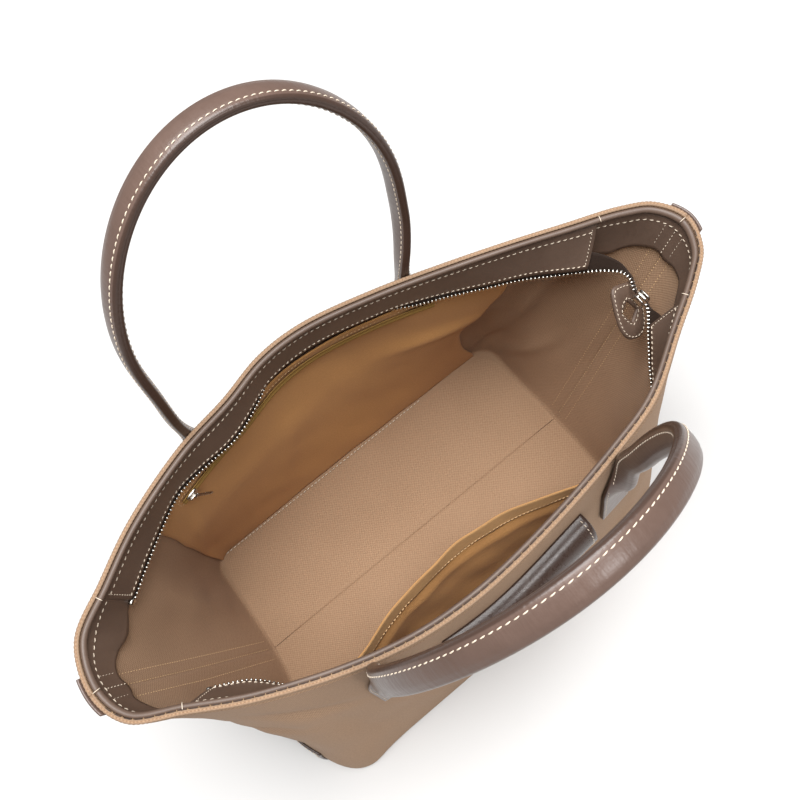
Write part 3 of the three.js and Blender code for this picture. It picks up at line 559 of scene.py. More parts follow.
def dent_at(place, rise):
    """How far the wall is pushed in at this place and rise."""
    dent = np.zeros(np.broadcast(place, rise).shape)
    for middle, high, depth, spread, tall in DENTS:
        along, up = from_place(place, middle) / spread, (rise - high) / tall
        dent = dent + depth * np.exp(-(along**2) - up**2)
    for place0, rise0, place1, rise1, depth, width in CREASES:
        run = np.array([(place1 - place0) * WALL_LENGTH, rise1 - rise0])
        from_u, from_v = from_place(place, place0) * WALL_LENGTH, rise - rise0
        share = np.clip((from_u * run[0] + from_v * run[1]) / (run @ run), 0, 1)
        away = np.hypot(from_u - share * run[0], from_v - share * run[1])
        fade = np.sin(np.pi * np.clip(share, 0.05, 0.95)) ** 0.7
        dent = dent + depth * fade * np.exp(-((away / width) ** 2))
    held = np.clip((HEIGHT - rise) / CALM_TOP, 0, 1) * np.clip(rise / CALM_FOOT, 0, 1)
    to_seam = np.abs(from_place(np.mod(place, 1), 0.5)) - 0.5
    calm = np.clip(np.abs(to_seam) * WALL_LENGTH / CALM_SEAM, 0, 1)
    waves = ripple(np.mod(place, 2) * WALL_LENGTH, rise, RIPPLE_SIZE, RIPPLE_SEED)
    return dent + held * calm * RIPPLE_MM * waves


def loft_at(place, rise):
    """The straight loft between base and mouth."""
    around = np.mod(place, 2)
    share = np.where(around <= 1, around, 2 - around)
    front = (around > 1)[..., None]
    low = np.where(front, base_front.at(share), base_back.at(share))
    high = np.where(front, rim_front.at(share), rim_back.at(share))
    rise = np.asarray(rise, float)[..., None]
    flat = low + (high - low) * (rise / HEIGHT)
    return np.concatenate([flat, np.broadcast_to(rise, flat[..., :1].shape)], -1)


def inward_at(place, rise):
    """The level direction into the bag."""
    run = loft_at(place + PLACE_STEP, rise) - loft_at(place - PLACE_STEP, rise)
    zero = np.zeros(run.shape[:-1])
    return unit(np.stack([run[..., 1], -run[..., 0], zero], -1))


def wall_at(place, rise, depth):
    """A point at a depth behind the canvas's outer face; below zero lies outside the bag."""
    place, rise, depth = np.broadcast_arrays(*(np.asarray(a, float) for a in (place, rise, depth)))
    push = dent_at(place, rise) + depth
    return loft_at(place, rise) + inward_at(place, rise) * push[..., None]


def place_of(side, x, rise):
    """The place on the back (0) or the front (1) where the wall has this x."""
    share = np.linspace(0, 1, 4001)
    line = loft_at(share if side == 0 else 2 - share, rise)[:, 0]
    found = np.interp(x, line, share)
    return found if side == 0 else 2 - found


print("middle of the back wall:", wall_at(0.5, 100, 0).round(1))

# %% [markdown]
# ## Canvas halves
# Each half is one cut of canvas: a wall that folds under at the bottom into half of the base. The two
# halves are sewn up both ends and along the middle of the base. At the mouth the canvas is turned over into
# a corded hem. A grid runs from the base seam, out over the floor, round the bottom edge and up to the hem,
# with an inside face.

# %% Canvas halves
SIDES = ((0, "back"), (1, "front"))
COLUMNS = 190
# The floor runs from the base seam (0) to the fold at the foot of the wall (1), finely near the seam
FLOOR_SHARES = np.concatenate([[0, 0.005, 0.01, 0.018, 0.03], np.linspace(0.1, 1, 13, endpoint=False)])
SEAM_GROOVE, SEAM_GROOVE_SHARE = 0.6, 0.007
FLOOR_UNEVEN, FLOOR_RIPPLE_SIZE, FLOOR_SEED = 0.35, 60, 5
BOTTOM_RISES = [0, 0.5, 1.2, 2, 3, 4.4, 6]
HEM_FOOT = 226
HEM_SWELL, HEM_MIDDLE, HEM_SPREAD = 0.6, 230.6, 1.2
# How far the rounded bottom edge draws in, outside and inside: rises, then distances
DRAW_IN_OUTSIDE = ([0, 2, 6], [5, 1.5, 0])
DRAW_IN_INSIDE = ([0, 2, 6], [1.5, 0.4, 0])
wall_rises = np.concatenate([BOTTOM_RISES, np.linspace(9, HEM_FOOT, 64), np.linspace(226.8, HEIGHT, 15)])
half_gap = GAP / 2 / WALL_LENGTH


def half_places(side, count):
    """Places along one half of the bag, from end seam to end seam."""
    return np.linspace(side + half_gap, side + 1 - half_gap, count)


def hem_swell(rise):
    """The turned hem stands out in a low ridge just below the mouth."""
    return HEM_SWELL * np.exp(-(((rise - HEM_MIDDLE) / HEM_SPREAD) ** 2))


def canvas_half(side):
    """Outer face, inner face and cloth coordinates of one half."""
    place, rise = np.meshgrid(half_places(side, COLUMNS), wall_rises)
    lifted = CANVAS + rise * (HEIGHT - CANVAS) / HEIGHT
    outer = wall_at(place, rise, np.interp(rise, *DRAW_IN_OUTSIDE) - hem_swell(rise))
    inner = wall_at(place, lifted, np.interp(rise, *DRAW_IN_INSIDE) + CANVAS)
    seam_y = SEAM_Y + (GAP / 2 if side == 0 else -GAP / 2)
    floors = []
    for edge in (outer[0], inner[0]):
        seam_x = edge[0, 0] + (edge[-1, 0] - edge[0, 0]) * np.linspace(0, 1, COLUMNS)
        base_seam = np.column_stack([seam_x, np.full(COLUMNS, seam_y), edge[:, 2]])
        floors.append(base_seam + (edge - base_seam) * FLOOR_SHARES[:, None, None])
    groove = SEAM_GROOVE * np.exp(-((FLOOR_SHARES / SEAM_GROOVE_SHARE) ** 2))
    waves = ripple(floors[1][..., 0], floors[1][..., 1], FLOOR_RIPPLE_SIZE, FLOOR_SEED)
    floors[1][..., 2] += FLOOR_UNEVEN * waves - groove[:, None]
    cloth = np.stack([(place - side) * WALL_LENGTH, rise], -1)
    cloth = np.concatenate([floors[1][..., :2] + [BASE_LENGTH / 2, 0], cloth])
    return np.concatenate([floors[0], outer]), np.concatenate([floors[1], inner]), cloth


for side, half in SIDES:
    piece = add_sheet("body_canvas_" + half, *canvas_half(side), CANVAS_WEAVE, "canvas", ["canvas_" + half])
    print(piece.name, "has", len(piece.data.polygons), "faces")

# %% [markdown]
# ### Hem cords
# The turned edge of the canvas is bound along its top with two lines of twisted tan cord, side by side.
# A curve with a bevel would give a smooth tube. Here the ribs of the twist catch the light, so each cord is
# a tube whose radius swells in a slow screw round it.

# %% Hem cords
CORD_RADIUS, CORD_RISE, CORD_DEPTHS = 0.8, 235.8, (0.3, 1.7)
CORD_TWIST, CORD_RIB, CORD_SIDES, CORD_STEP = 2.6, 0.14, 8, 0.75
cord_turn = np.linspace(0, 2 * np.pi, CORD_SIDES, endpoint=False)
for side, half in SIDES:
    places = half_places(side, int(WALL_LENGTH / CORD_STEP))[:, None]
    swell = np.sin(2 * np.pi * places * WALL_LENGTH / CORD_TWIST + 2 * cord_turn)
    radius = CORD_RADIUS + CORD_RIB * swell
    up, across = radius * np.sin(cord_turn), radius * np.cos(cord_turn)
    cords = [tube_mesh(wall_at(places, CORD_RISE + up, depth + across)) for depth in CORD_DEPTHS]
    add_piece("hem_cords_" + half, *merge(cords), CORD_COTTON, "canvas")
print("hem cords:", int(WALL_LENGTH / CORD_TWIST), "twists a half")

# %% [markdown]
# ## Rolled rim
# A strip of thin leather is rolled over a cord and sewn inside the canvas hem, all round the mouth.
# It is a round bar with a slight lengthwise wobble, so it is swept as a tube along the wall's own top line.

# %% Rolled rim
ROLL_RADIUS, ROLL_SIDES, ROLL_STEPS = 1.9, 18, 320
ROLL_WOBBLE, ROLL_WOBBLE_SIZE, ROLL_SEED = 0.025, 35, 11
roll_turn = np.linspace(0, 2 * np.pi, ROLL_SIDES, endpoint=False)
roll_rise, roll_depth = HEIGHT - ROLL_RADIUS, CANVAS + GAP + ROLL_RADIUS
for side, half in SIDES:
    places = half_places(side, ROLL_STEPS)[:, None]
    wobble = ROLL_WOBBLE * ripple(places * WALL_LENGTH, 0 * places, ROLL_WOBBLE_SIZE, ROLL_SEED)
    radius = ROLL_RADIUS * (1 + wobble)
    rings = wall_at(places, roll_rise + radius * np.sin(roll_turn), roll_depth + radius * np.cos(roll_turn))
    add_piece("rolled_rim_" + half, *tube_mesh(rings), FACING_LEATHER, "facing_leather", ["rim_edge_" + half])
print("rolled rim:", ROLL_STEPS, "rings a half")

# %% [markdown]
# ## Stitches
# A saddle stitch is a short pale dash of thick thread that dives into the leather at both ends, and each
# dash leans a little across the line of the seam. A bump pattern would vanish at the edges, so each stitch
# is a small arched bar. One function lays a whole row along any line of points, given which way the surface
# faces.

# %% Stitch row
STITCH_RINGS, STITCH_SIDES = 5, 6
# How thick the thread is at its ends, how high its arch is in widths, and where the arch crosses the
# surface
THREAD_END, ARCH_HIGH, ARCH_LEVEL = 0.45, 0.35, 0.6
ring_share = np.linspace(-0.5, 0.5, STITCH_RINGS)
ring_turn = np.linspace(0, 2 * np.pi, STITCH_SIDES, endpoint=False)


def stitch_points(line, facing, pitch, length, width, slant=0.16, lift=0.15):
    """All the stitches along a line, as rings of points."""
    path = Path(line)
    count = max(int(path.length / pitch), 1)
    share = (np.arange(count) + 0.5) / count
    middle, run = path.at(share), path.along(share)
    normal = unit(path.carry(facing, share))
    side = unit(np.cross(normal, run))
    normal = np.cross(run, side)
    lean = unit(run + slant * side)
    beside = np.cross(normal, lean)
    arch = np.sqrt(np.maximum(1 - (2 * ring_share) ** 2, 0))
    thick = width / 2 * (THREAD_END + (1 - THREAD_END) * arch)
    spine = middle[:, None] + lean[:, None] * (ring_share * length)[None, :, None]
    spine = spine + normal[:, None] * (lift + width * ARCH_HIGH * (arch - ARCH_LEVEL))[None, :, None]
    turns = ring_turn[None, None, :, None]
    around = np.cos(turns) * beside[:, None, None] + np.sin(turns) * normal[:, None, None]
    return spine[:, :, None] + around * thick[None, :, None, None]


def sew(name, rows, material, slot):
    """One piece that holds every stitch of several rows."""
    bars = [tube_mesh(rings) for row in rows for rings in row]
    add_piece(name, *merge(bars), material, slot)
    print(name, "has", len(bars), "stitches")


print("a stitch has", STITCH_RINGS * STITCH_SIDES + 2, "points")

# %% [markdown]
# ## Facings
# Wide bands of leather hang inside the mouth. The long ones, behind and in front, carry the zip and swing
# away from the wall near their ends; the short ones across the two ends are cut in scallops with a tongue
# at the end seam. Each is a sheet that follows the wall at its top and leans in lower down, by a table of
# drops and leans.

# %% Facings
FACING_THICK, FACING_ROWS, FACING_DROP = 1.6, 12, 31
FACING_TOP = HEIGHT - 2 * ROLL_RADIUS - GAP
SEAM_FROM_END = 60
FACING_WAVE, FACING_WAVE_LONG, FACING_WAVE_SIZE, FACING_SEED = 0.25, 400, 70, 17
# Along the facing: share, drop below the rim, how far the lower edge stands off the wall
BACK_EDGE = [
    (0, 31, 3), (0.1, 31, 6), (0.19, 29, 0.6), (0.3, 31, 8), (0.4, 28, 2.8), (0.53, 25, 2.8), (0.66, 28, 2.8),
    (0.76, 30, 6), (0.88, 31, 12), (1, 31, 16),
]
FRONT_EDGE = [
    (0, 31, 12.5), (0.04, 31, 16.5), (0.08, 31, 16), (0.11, 31, 13), (0.14, 31, 9), (0.2, 30, 3),
    (0.88, 30, 3), (0.94, 31, 8), (0.98, 31, 11), (1, 31, 14),
]
LEFT_EDGE = [
    (0, 33, 1), (0.06, 36, 1), (0.15, 38, 3), (0.22, 38, 4), (0.27, 34, 3), (0.3, 30, 1), (0.38, 22, 1),
    (0.43, 21, 1), (0.47, 22, 1), (0.5, 25.5, 1), (0.53, 25, 1), (0.6, 20, 1), (0.65, 21.5, 1), (0.72, 26, 1),
    (0.85, 30, 1), (1, 31, 1),
]
RIGHT_EDGE = [
    (0, 36, 1), (0.12, 38, 1), (0.19, 37, 2), (0.24, 34, 1), (0.33, 29, 1), (0.42, 26, 1), (0.48, 26.5, 1),
    (0.53, 28, 1), (0.57, 26.5, 1), (0.64, 23, 1), (0.72, 22, 1), (0.82, 20, 1), (0.87, 23, 1), (1, 28, 1),
]
seam = SEAM_FROM_END / WALL_LENGTH
tiny = GAP / WALL_LENGTH
# Each facing: edge table, first place, last place, columns
FACINGS = {
    "facing_back": (BACK_EDGE, seam, 1 - seam, 150),
    "facing_front": (FRONT_EDGE, 2 - seam, 1 + seam, 150),
    "facing_end_left": (LEFT_EDGE, seam - tiny, tiny - seam, 70),
    "facing_end_right": (RIGHT_EDGE, 1 - seam + tiny, 1 + seam - tiny, 70),
}
# A table's corners are softened over so many of its fine readings
READ_SOFT = 21


def read_smooth(table, column, share):
    """A table read along its first column, with its corners softened."""
    table = np.array(table, float)
    fine = np.linspace(-0.1, 1.1, 481)
    straight = np.interp(fine, table[:, 0], table[:, column])
    padded = np.pad(straight, READ_SOFT // 2, mode="edge")
    return np.interp(share, fine, np.convolve(padded, np.full(READ_SOFT, 1 / READ_SOFT), mode="valid"))


def facing_at(name, along, down, depth):
    """A point on a facing: down counts 0 to 1 from its top to its lower edge."""
    edge, first, last, _ = FACINGS[name]
    along, down, depth = np.broadcast_arrays(*(np.asarray(a, float) for a in (along, down, depth)))
    drop, lean = read_smooth(edge, 1, along), read_smooth(edge, 2, along)
    place = first + (last - first) * along
    return wall_at(place, FACING_TOP - down * drop, CANVAS + GAP + down * lean + depth)


for name, (_, first, last, columns) in FACINGS.items():
    along, down = np.meshgrid(np.linspace(0, 1, columns), np.linspace(0, 1, FACING_ROWS))
    wave = FACING_WAVE * ripple(along * FACING_WAVE_LONG, down * FACING_DROP, FACING_WAVE_SIZE, FACING_SEED)
    grids = [facing_at(name, along, down, depth + wave) for depth in (0, FACING_THICK)]
    cloth = np.stack([along * abs(last - first) * WALL_LENGTH, -down * FACING_DROP], -1)
    add_sheet("leather_" + name, *grids, cloth, FACING_LEATHER, "facing_leather", [name])
print("facings:", list(FACINGS))

# %% [markdown]
# ### Sewing the facings
# One row runs just under the rolled rim all the way round, one along the long facings' lower edges where
# the zip is sewn on, and one down each of their ends.

# %% Stitches of the facings
# Each kind of stitch: pitch, length, thread width
RIM_STITCH, ZIP_STITCH, END_STITCH = (4.3, 2.7, 0.75), (3.6, 2.1, 0.75), (2.6, 1.5, 0.55)
RIM_ROW_DOWN = 0.2
EDGE_INSET = 0.09
END_ROWS = (0.007, 0.993)


def facing_line(name, along, down):
    """A line on a facing's inner face, with the directions it faces."""
    _, first, last, _ = FACINGS[name]
    line = facing_at(name, along, down, FACING_THICK)
    ahead = facing_at(name, np.clip(along + 0.004, 0, 1), down, FACING_THICK)
    behind = facing_at(name, np.clip(along - 0.004, 0, 1), down, FACING_THICK)
    lower = facing_at(name, along, np.asarray(down) + 0.02, FACING_THICK)
    normal = unit(np.cross(ahead - behind, lower - line))
    inward = inward_at(first + (last - first) * np.asarray(along), FACING_TOP)
    return line, normal * np.sign((normal * inward).sum(-1, keepdims=True))


straight = np.linspace(0.004, 0.996, 260)
rows = [stitch_points(*facing_line(name, straight, RIM_ROW_DOWN), *RIM_STITCH) for name in FACINGS]
for name in ("facing_back", "facing_front"):
    rows.append(stitch_points(*facing_line(name, straight, 1 - EDGE_INSET), *ZIP_STITCH))
    down = np.linspace(0.12, 1 - EDGE_INSET, 40)
    rows += [stitch_points(*facing_line(name, end, down), *END_STITCH) for end in END_ROWS]
sew("stitches_facings", rows, LINEN, "canvas")

# %% [markdown]
# ### Seams of the body
# The canvas halves are sewn up both ends with three rows of thread, and the base has a row along its back
# fold. Across the rolled rim, single bars of thread bind the places where facings or canvas halves meet. On
# the front the roll is also tacked to the hem with long dark stitches and small pale ones between them.

# %% Stitches of the body
SEAM_ROWS, SEAM_CLEAR = (-9, 0, 8.5), 0.6
SEAM_STITCH, FOLD_STITCH = (3.0, 1.0, 0.55), (4.0, 2.9, 0.8)
# Across the end facings the three rows go on in pale thread, the outer two finer and a little shorter
TONGUE_STITCH, TONGUE_WIDTHS, TONGUE_SHORT = (2.8, 1.5), (0.35, 0.55, 0.35), 0.12
FOLD_LEFT, FOLD_RIGHT, FOLD_INSET, FOLD_HIGH = -148, 75, 6.4, 1.0
rows, pale_rows = [], []
rises = np.linspace(10, 206, 80)
for end in (0.0, 1.0):
    for offset in SEAM_ROWS:
        place = end + (offset + SEAM_CLEAR * (offset == 0)) / WALL_LENGTH
        facing = inward_at(place, rises) + [0, 0, 0.15]
        rows.append(stitch_points(wall_at(place, rises, CANVAS), facing, *SEAM_STITCH))
for name in ("facing_end_left", "facing_end_right"):
    down = np.linspace(0.24, 0.97, 30)
    for offset, width in zip(SEAM_ROWS, TONGUE_WIDTHS):
        short = 1 - TONGUE_SHORT * (offset != 0)
        line = facing_line(name, 0.5 + offset / (2 * SEAM_FROM_END), down * short)
        pale_rows.append(stitch_points(*line, *TONGUE_STITCH, width))
fold_x = np.linspace(FOLD_LEFT, FOLD_RIGHT, 140)
fold = [(x, BASE_DEPTH / 2 - FOLD_INSET, CANVAS + FOLD_HIGH) for x in fold_x]
pale_rows.append(stitch_points(fold, [0, -0.2, 1], *FOLD_STITCH, slant=0.1))
sew("stitches_end_seams", rows, TAN_THREAD, "canvas")
sew("stitches_base_and_ends", pale_rows, LINEN, "canvas")

# %% Thread bars and tacks across the rim
BAR_PLACES = (seam, 1 - seam, 1 + seam, 2 - seam, 0.0, 1.0)
BAR_STITCH, BAR_CLEAR = (7.4, 5.2, 0.6), 0.1
TACK_STITCH, TICK_STITCH = (6.4, 4.8, 0.55), (1.3, 1.3, 0.2)
TACK_FROM_CORD = 0.75
LAID = {"slant": 0.0, "lift": 0.1}
bars, ticks = [], []
bar_turn = np.linspace(0.05 * np.pi, 0.95 * np.pi, 14)
reach = ROLL_RADIUS + BAR_CLEAR
for place in BAR_PLACES:
    line = wall_at(place, roll_rise + reach * np.sin(bar_turn), roll_depth + reach * np.cos(bar_turn))
    facing = line - wall_at(place, roll_rise, roll_depth)
    bars.append(stitch_points(line, facing, *BAR_STITCH, slant=0.0, lift=0.0))
tack_line = wall_at(np.linspace(1.02, 1.98, 520), CORD_RISE + TACK_FROM_CORD, CORD_DEPTHS[1] + TACK_FROM_CORD)
path = Path(tack_line)
count = int(path.length / TACK_STITCH[0])
for share in np.arange(1, count) / count:
    across = unit(np.cross(UP, path.along(share))) * TICK_STITCH[1] / 2
    tick = np.linspace(path.at(share) - across, path.at(share) + across, 4)
    ticks.append(stitch_points(tick, UP, *TICK_STITCH, **LAID))
sew("thread_bars_rim", bars, LINEN, "canvas")
sew("thread_ticks_rim", ticks, TAN_THREAD, "canvas")
sew("dark_tacks_rim", [stitch_points(tack_line, UP, *TACK_STITCH, **LAID)], DARK_THREAD, "facing_leather")

# %% [markdown]
# ## The zip
# A metal zip hangs from the lower edges of the long facings. Each half is a woven tape sewn behind its
# facing, with a row of clamped teeth along its free edge. Near the right end the two halves leave the
# facings and meet in a slider. Teeth could be a texture, but they glint one by one, so each is a small
# rounded bar set along the tape.

# %% Rounded bars
BAR_ENDS = np.array([-1, -0.93, -0.72, -0.3, 0.3, 0.72, 0.93, 1])
BAR_SHRINK = np.array([0.55, 0.82, 0.96, 1, 1, 0.96, 0.82, 0.55])
SQUARE_TURN = np.linspace(0, 2 * np.pi, 12, endpoint=False) + np.pi / 12


def rounded_bar(middle, axes, halves):
    """A bar with rounded corners: its long axis comes first, then its width and its height."""
    axes = unit(np.asarray(axes, float))
    c, s = np.cos(SQUARE_TURN), np.sin(SQUARE_TURN)
    reach = (c**4 + s**4) ** -0.25
    flat = np.stack([reach * c * halves[1], reach * s * halves[2]], -1)
    rings = np.asarray(middle, float) + (BAR_ENDS * halves[0])[:, None, None] * axes[0]
    return tube_mesh(rings + BAR_SHRINK[:, None, None] * (flat @ axes[1:])[None])


print("a rounded bar has", len(BAR_ENDS) * len(SQUARE_TURN) + 2, "points")

# %% Zip lines
CHAIN_BELOW = 4.3
ZIP_LEVEL = 196.7
ZIP_READINGS, ZIP_STEPS = 16, 14
SLIDER = np.array([204.0, 1.0, ZIP_LEVEL])
SLIDER_REACH = 5.1
# The free run of each half, from its facing's end to the slider, as x and y
ZIP_FREE = {"back": [(202, 31), (208, 24), (209, 16), (206, 10)], "front": [(201, -9)]}
# The back row is tucked up behind its facing for a stretch: where along it, how softly, how far up and
# behind
TUCK_FROM, TUCK_TO, TUCK_SOFT, TUCK_UP, TUCK_BEHIND = 0.38, 0.67, 0.06, 7.8, 2.6


def tucked(half, along):
    """How far the teeth are hidden behind their facing: 0 hangs below it, 1 is out of sight."""
    share = np.clip((along - TUCK_FROM) / TUCK_SOFT, 0, 1) * np.clip((TUCK_TO - along) / TUCK_SOFT, 0, 1)
    return ease(share) * (half == "back")


def zip_line(half, towards):
    """The line of the teeth, from the left end to the slider."""
    along = np.linspace(0, 1, ZIP_READINGS + 1)
    tuck = tucked(half, along)
    hung = facing_at("facing_" + half, along, 1.0, FACING_THICK / 2 - TUCK_BEHIND * tuck)
    hung = hung - UP * (CHAIN_BELOW - TUCK_UP * tuck)[:, None]
    loose = [(x, y, ZIP_LEVEL) for x, y in ZIP_FREE[half]]
    meet = SLIDER + [0, towards * SLIDER_REACH, 0]
    return smooth_curve([*hung, *loose, meet], False, ZIP_STEPS)


zip_lines = {"back": zip_line("back", 1), "front": zip_line("front", -1)}
print("zip halves, mm:", {half: round(Path(line).length) for half, line in zip_lines.items()})

# %% Zip tapes
TAPE_RISES = np.array([14, 12, 10, 8.4, 7.2, 5.5, 3.5, 1.5, -0.6])
TAPE_THICK, TAPE_NARROW = 0.8, 0.15


def level_side(line):
    """The level direction across a line, at each of its points."""
    run = np.gradient(line, axis=0)
    return unit(np.column_stack([run[:, 1], -run[:, 0], np.zeros(len(run))]))


for half, line in zip_lines.items():
    facing = "facing_" + half
    _, first, last, _ = FACINGS[facing]
    hung = ZIP_READINGS * ZIP_STEPS
    along = np.clip(np.arange(len(line)) / hung, 0, 1)
    free = np.clip((np.arange(len(line)) - hung) / (len(line) - hung), 0, 1)
    low = facing_at(facing, along, 1.0, -TAPE_THICK)
    hidden = inward_at(first + (last - first) * along, FACING_TOP) * -(FACING_THICK / 2 + TAPE_THICK)
    showing = (1 - free[:, None]) * (1 - tucked(half, along)[:, None])
    narrow = 1 - (1 - TAPE_NARROW) * np.clip(2 * free, 0, 1)
    grid = []
    for rise in TAPE_RISES:
        down = 1 - np.maximum(rise - CHAIN_BELOW, 0) / FACING_DROP
        behind = facing_at(facing, along, down, -TAPE_THICK) - low
        behind = behind * [1, 1, 0] * (1 - free[:, None]) ** 2
        share = np.clip(rise / CHAIN_BELOW, 0, 1)
        grid.append(line + UP * (rise * narrow)[:, None] + behind + hidden * share * showing)
    grid = np.array(grid)
    side = level_side(line)[None] * TAPE_THICK / 2
    run = lengths_along(line)
    cloth = np.stack(np.broadcast_arrays(run[None], TAPE_RISES[:, None]), -1)
    grids = grid + side, grid - side
    tape = add_sheet("zip_ribbon_" + half, *grids, cloth, ZIP_RIBS, "zip_tape", ["zip_tape_" + half])
print("tapes are", TAPE_RISES[0] - TAPE_RISES[-1], "mm wide")

# %% Zip teeth and stops
TOOTH, TOOTH_PITCH = (1.8, 0.8, 1.4), 2.8
STOP, STOP_BEFORE = (2.2, 1.4, 3.2), 3.4
for half, line in zip_lines.items():
    path = Path(line)
    shares = np.arange(0.004, 1 - 0.002, TOOTH_PITCH / path.length)
    places, runs = path.at(shares), path.along(shares)
    teeth = []
    for spot, run in zip(places, runs):
        side = unit(np.cross(run, UP))
        teeth.append(rounded_bar(spot, [side, run, np.cross(side, run)], TOOTH))
    add_piece("zip_teeth_" + half, *merge(teeth), NICKEL, "metal", ["zip_chain_" + half])
    run = unit(runs[0] * [1, 1, 0])
    stop = rounded_bar(places[0] - run * STOP_BEFORE, [run, unit(np.cross(run, UP)), UP], STOP)
    add_piece("zip_stop_clip_" + half, *stop, NICKEL, "metal", ["zip_stop_" + half])
    print(half, "half has", len(shares), "teeth")

# %% [markdown]
# ### Slider and end tab
# The slider is a stamped shell: two rounded plates held apart by a bridge, with a small loop on top for a
# pull. Beyond it the closed end of the tape is sewn into a leather tab with a square window, slanted inside
# the bag.

# %% Slider
# Bars of the slider: offset from its middle, axes, half sizes
SLIDER_BARS = [
    (RIGHT * -2.9, [BACK, UP, RIGHT], (4.5, 4.2, 0.8)), (RIGHT * 2.9, [BACK, UP, RIGHT], (4.5, 4.2, 0.8)),
    (BACK * 2, [RIGHT, BACK, UP], (2.6, 1.2, 3.0)), (UP * 4.4, [BACK, RIGHT, UP], (3.6, 1.1, 0.7)),
    (UP * 3.2 + BACK * -2.9, [UP, RIGHT, BACK], (1.4, 1.0, 0.7)),
    (UP * 3.2 + BACK * 2.9, [UP, RIGHT, BACK], (1.4, 1.0, 0.7)),
]
shell = merge([rounded_bar(SLIDER + offset, axes, halves) for offset, axes, halves in SLIDER_BARS])
add_piece("zip_slider_shell", *shell, NICKEL, "metal", ["zip_slider"])
print("slider at", SLIDER)

# %% End tab
TAB_MIDDLE = np.array([196.7, 2.5, 184.3])
TAB_WIDE = unit(np.array([0.876, -0.146, -0.461]))
TAB_LONG = unit(np.array([-0.303, -0.770, -0.562]))
TAB_HALF, TAB_THICK, TAB_WINDOW, TAB_TURNS = (13.0, 20.0), 3.0, 7.4, 96
# How square the tab's outline is at its sewn end and at its round end
TAB_SQUARE, TAB_ROUND = 5.0, 2.6
# Across the leather from the window to the outer edge: share of the way, share of the half thickness
TAB_SECTION = [(0, 0), (0.02, 0.6), (0.08, 1), (0.5, 1), (0.92, 1), (0.98, 0.6), (1, 0),
               (0.98, -0.6), (0.92, -1), (0.5, -1), (0.08, -1), (0.02, -0.6)]
TAB_STITCH, TAB_ROWS = (3.2, 2.1, 0.6), (0.2, 0.86)
TAB_FACE = unit(np.cross(TAB_LONG, TAB_WIDE))
TAB_FACE = TAB_FACE * np.sign(TAB_FACE[2])


def on_tab(turn, share, level):
    """Points round the tab, a share of the way from its window to its edge, at a level of its thickness."""
    c, s = np.cos(turn), np.sin(turn)
    power = np.where(s < 0, TAB_SQUARE, TAB_ROUND)
    reach = (np.abs(c) ** power + np.abs(s) ** power) ** (-1 / power)
    outer = np.column_stack([reach * c * TAB_HALF[0], reach * s * TAB_HALF[1]])
    inner = np.column_stack([c, s]) * (TAB_WINDOW / (np.abs(c) + np.abs(s)))[:, None]
    flat = inner + (outer - inner) * share
    return TAB_MIDDLE + flat[:, :1] * TAB_WIDE + flat[:, 1:] * TAB_LONG + level * TAB_THICK / 2 * TAB_FACE


turn = np.linspace(0, 2 * np.pi, TAB_TURNS, endpoint=False)
points = np.concatenate([on_tab(turn, share, level) for share, level in TAB_SECTION])
faces = grid_faces(len(TAB_SECTION) + 1, TAB_TURNS, closed=True)
faces = outward(points, [tuple(k % len(points) for k in face) for face in faces])
add_piece("zip_end_tab_leather", points, faces, FACING_LEATHER, "handle_leather", ["zip_end_tab"])
closed_turn = np.linspace(0, 2 * np.pi, 200)
rows = [stitch_points(on_tab(closed_turn, share, 1), TAB_FACE, *TAB_STITCH) for share in TAB_ROWS]
sew("stitches_end_tab", rows, LINEN, "handle_leather")

# %% [markdown]
# ## Inner pockets
# Both pockets are lining cloth. The back one lies on the wall, swells a little in the middle and has a zip
# across its top in a sewn slot. The front one is a slip pocket whose doubled hem falls open towards the
# middle of the bag. Both are sheets measured off the wall, with the swell given by smooth curves, so they
# stay on what carries them.

# %% Back pocket
LINING = 1.2
# Up the pocket: rise, left and right place, rest off the wall, swell at the middle
POCKET_BACK = np.array([
    (3, 0.19, 0.785, 1.6, 0), (45, 0.19, 0.75, 0.4, 1.5), (90, 0.195, 0.735, 0.4, 2),
    (105, 0.195, 0.745, 0.4, 3), (118, 0.195, 0.775, 0.4, 4), (140, 0.2, 0.795, 0.4, 3),
    (176, 0.2, 0.8, 0.4, 2), (194, 0.2, 0.785, 0.4, 1),
])
POCKET_BOXY, POCKET_WIDE = 0.3, 290
POCKET_SLACK, POCKET_SLACK_SIZE, POCKET_SEED = 0.5, 60, 23
SOFT_STEPS = np.linspace(-9, 9, 7)


def pocket_read(column, rise):
    """A column of the pocket's table at a rise, its corners softened."""
    read = (np.interp(rise + step, POCKET_BACK[:, 0], POCKET_BACK[:, column]) for step in SOFT_STEPS)
    return sum(read) / len(SOFT_STEPS)


def bulge(across):
    """Nothing at both sides and one in the middle."""
    return np.clip(np.sin(np.pi * across), 0, 1)


def pocket_at(across, rise, depth):
    left, right, rest, swell = (pocket_read(column, rise) for column in (1, 2, 3, 4))
    stand = rest + swell * bulge(across) ** POCKET_BOXY
    return wall_at(left + (right - left) * across, rise, CANVAS + GAP + stand + depth)


across, rise = np.meshgrid(np.linspace(0, 1, 110), np.linspace(194, 3, 80))
slack = POCKET_SLACK * ripple(across * POCKET_WIDE, rise, POCKET_SLACK_SIZE, POCKET_SEED) * bulge(across)
grids = [pocket_at(across, rise, depth + slack) for depth in (LINING, 0)]
cloth = np.stack([across * POCKET_WIDE, rise], -1)
zip_pocket = add_sheet("zip_pocket_lining", *grids, cloth, LINING_WEAVE, "pocket_cloth", ["pocket_back"])
print("back pocket:", len(zip_pocket.data.polygons), "faces")

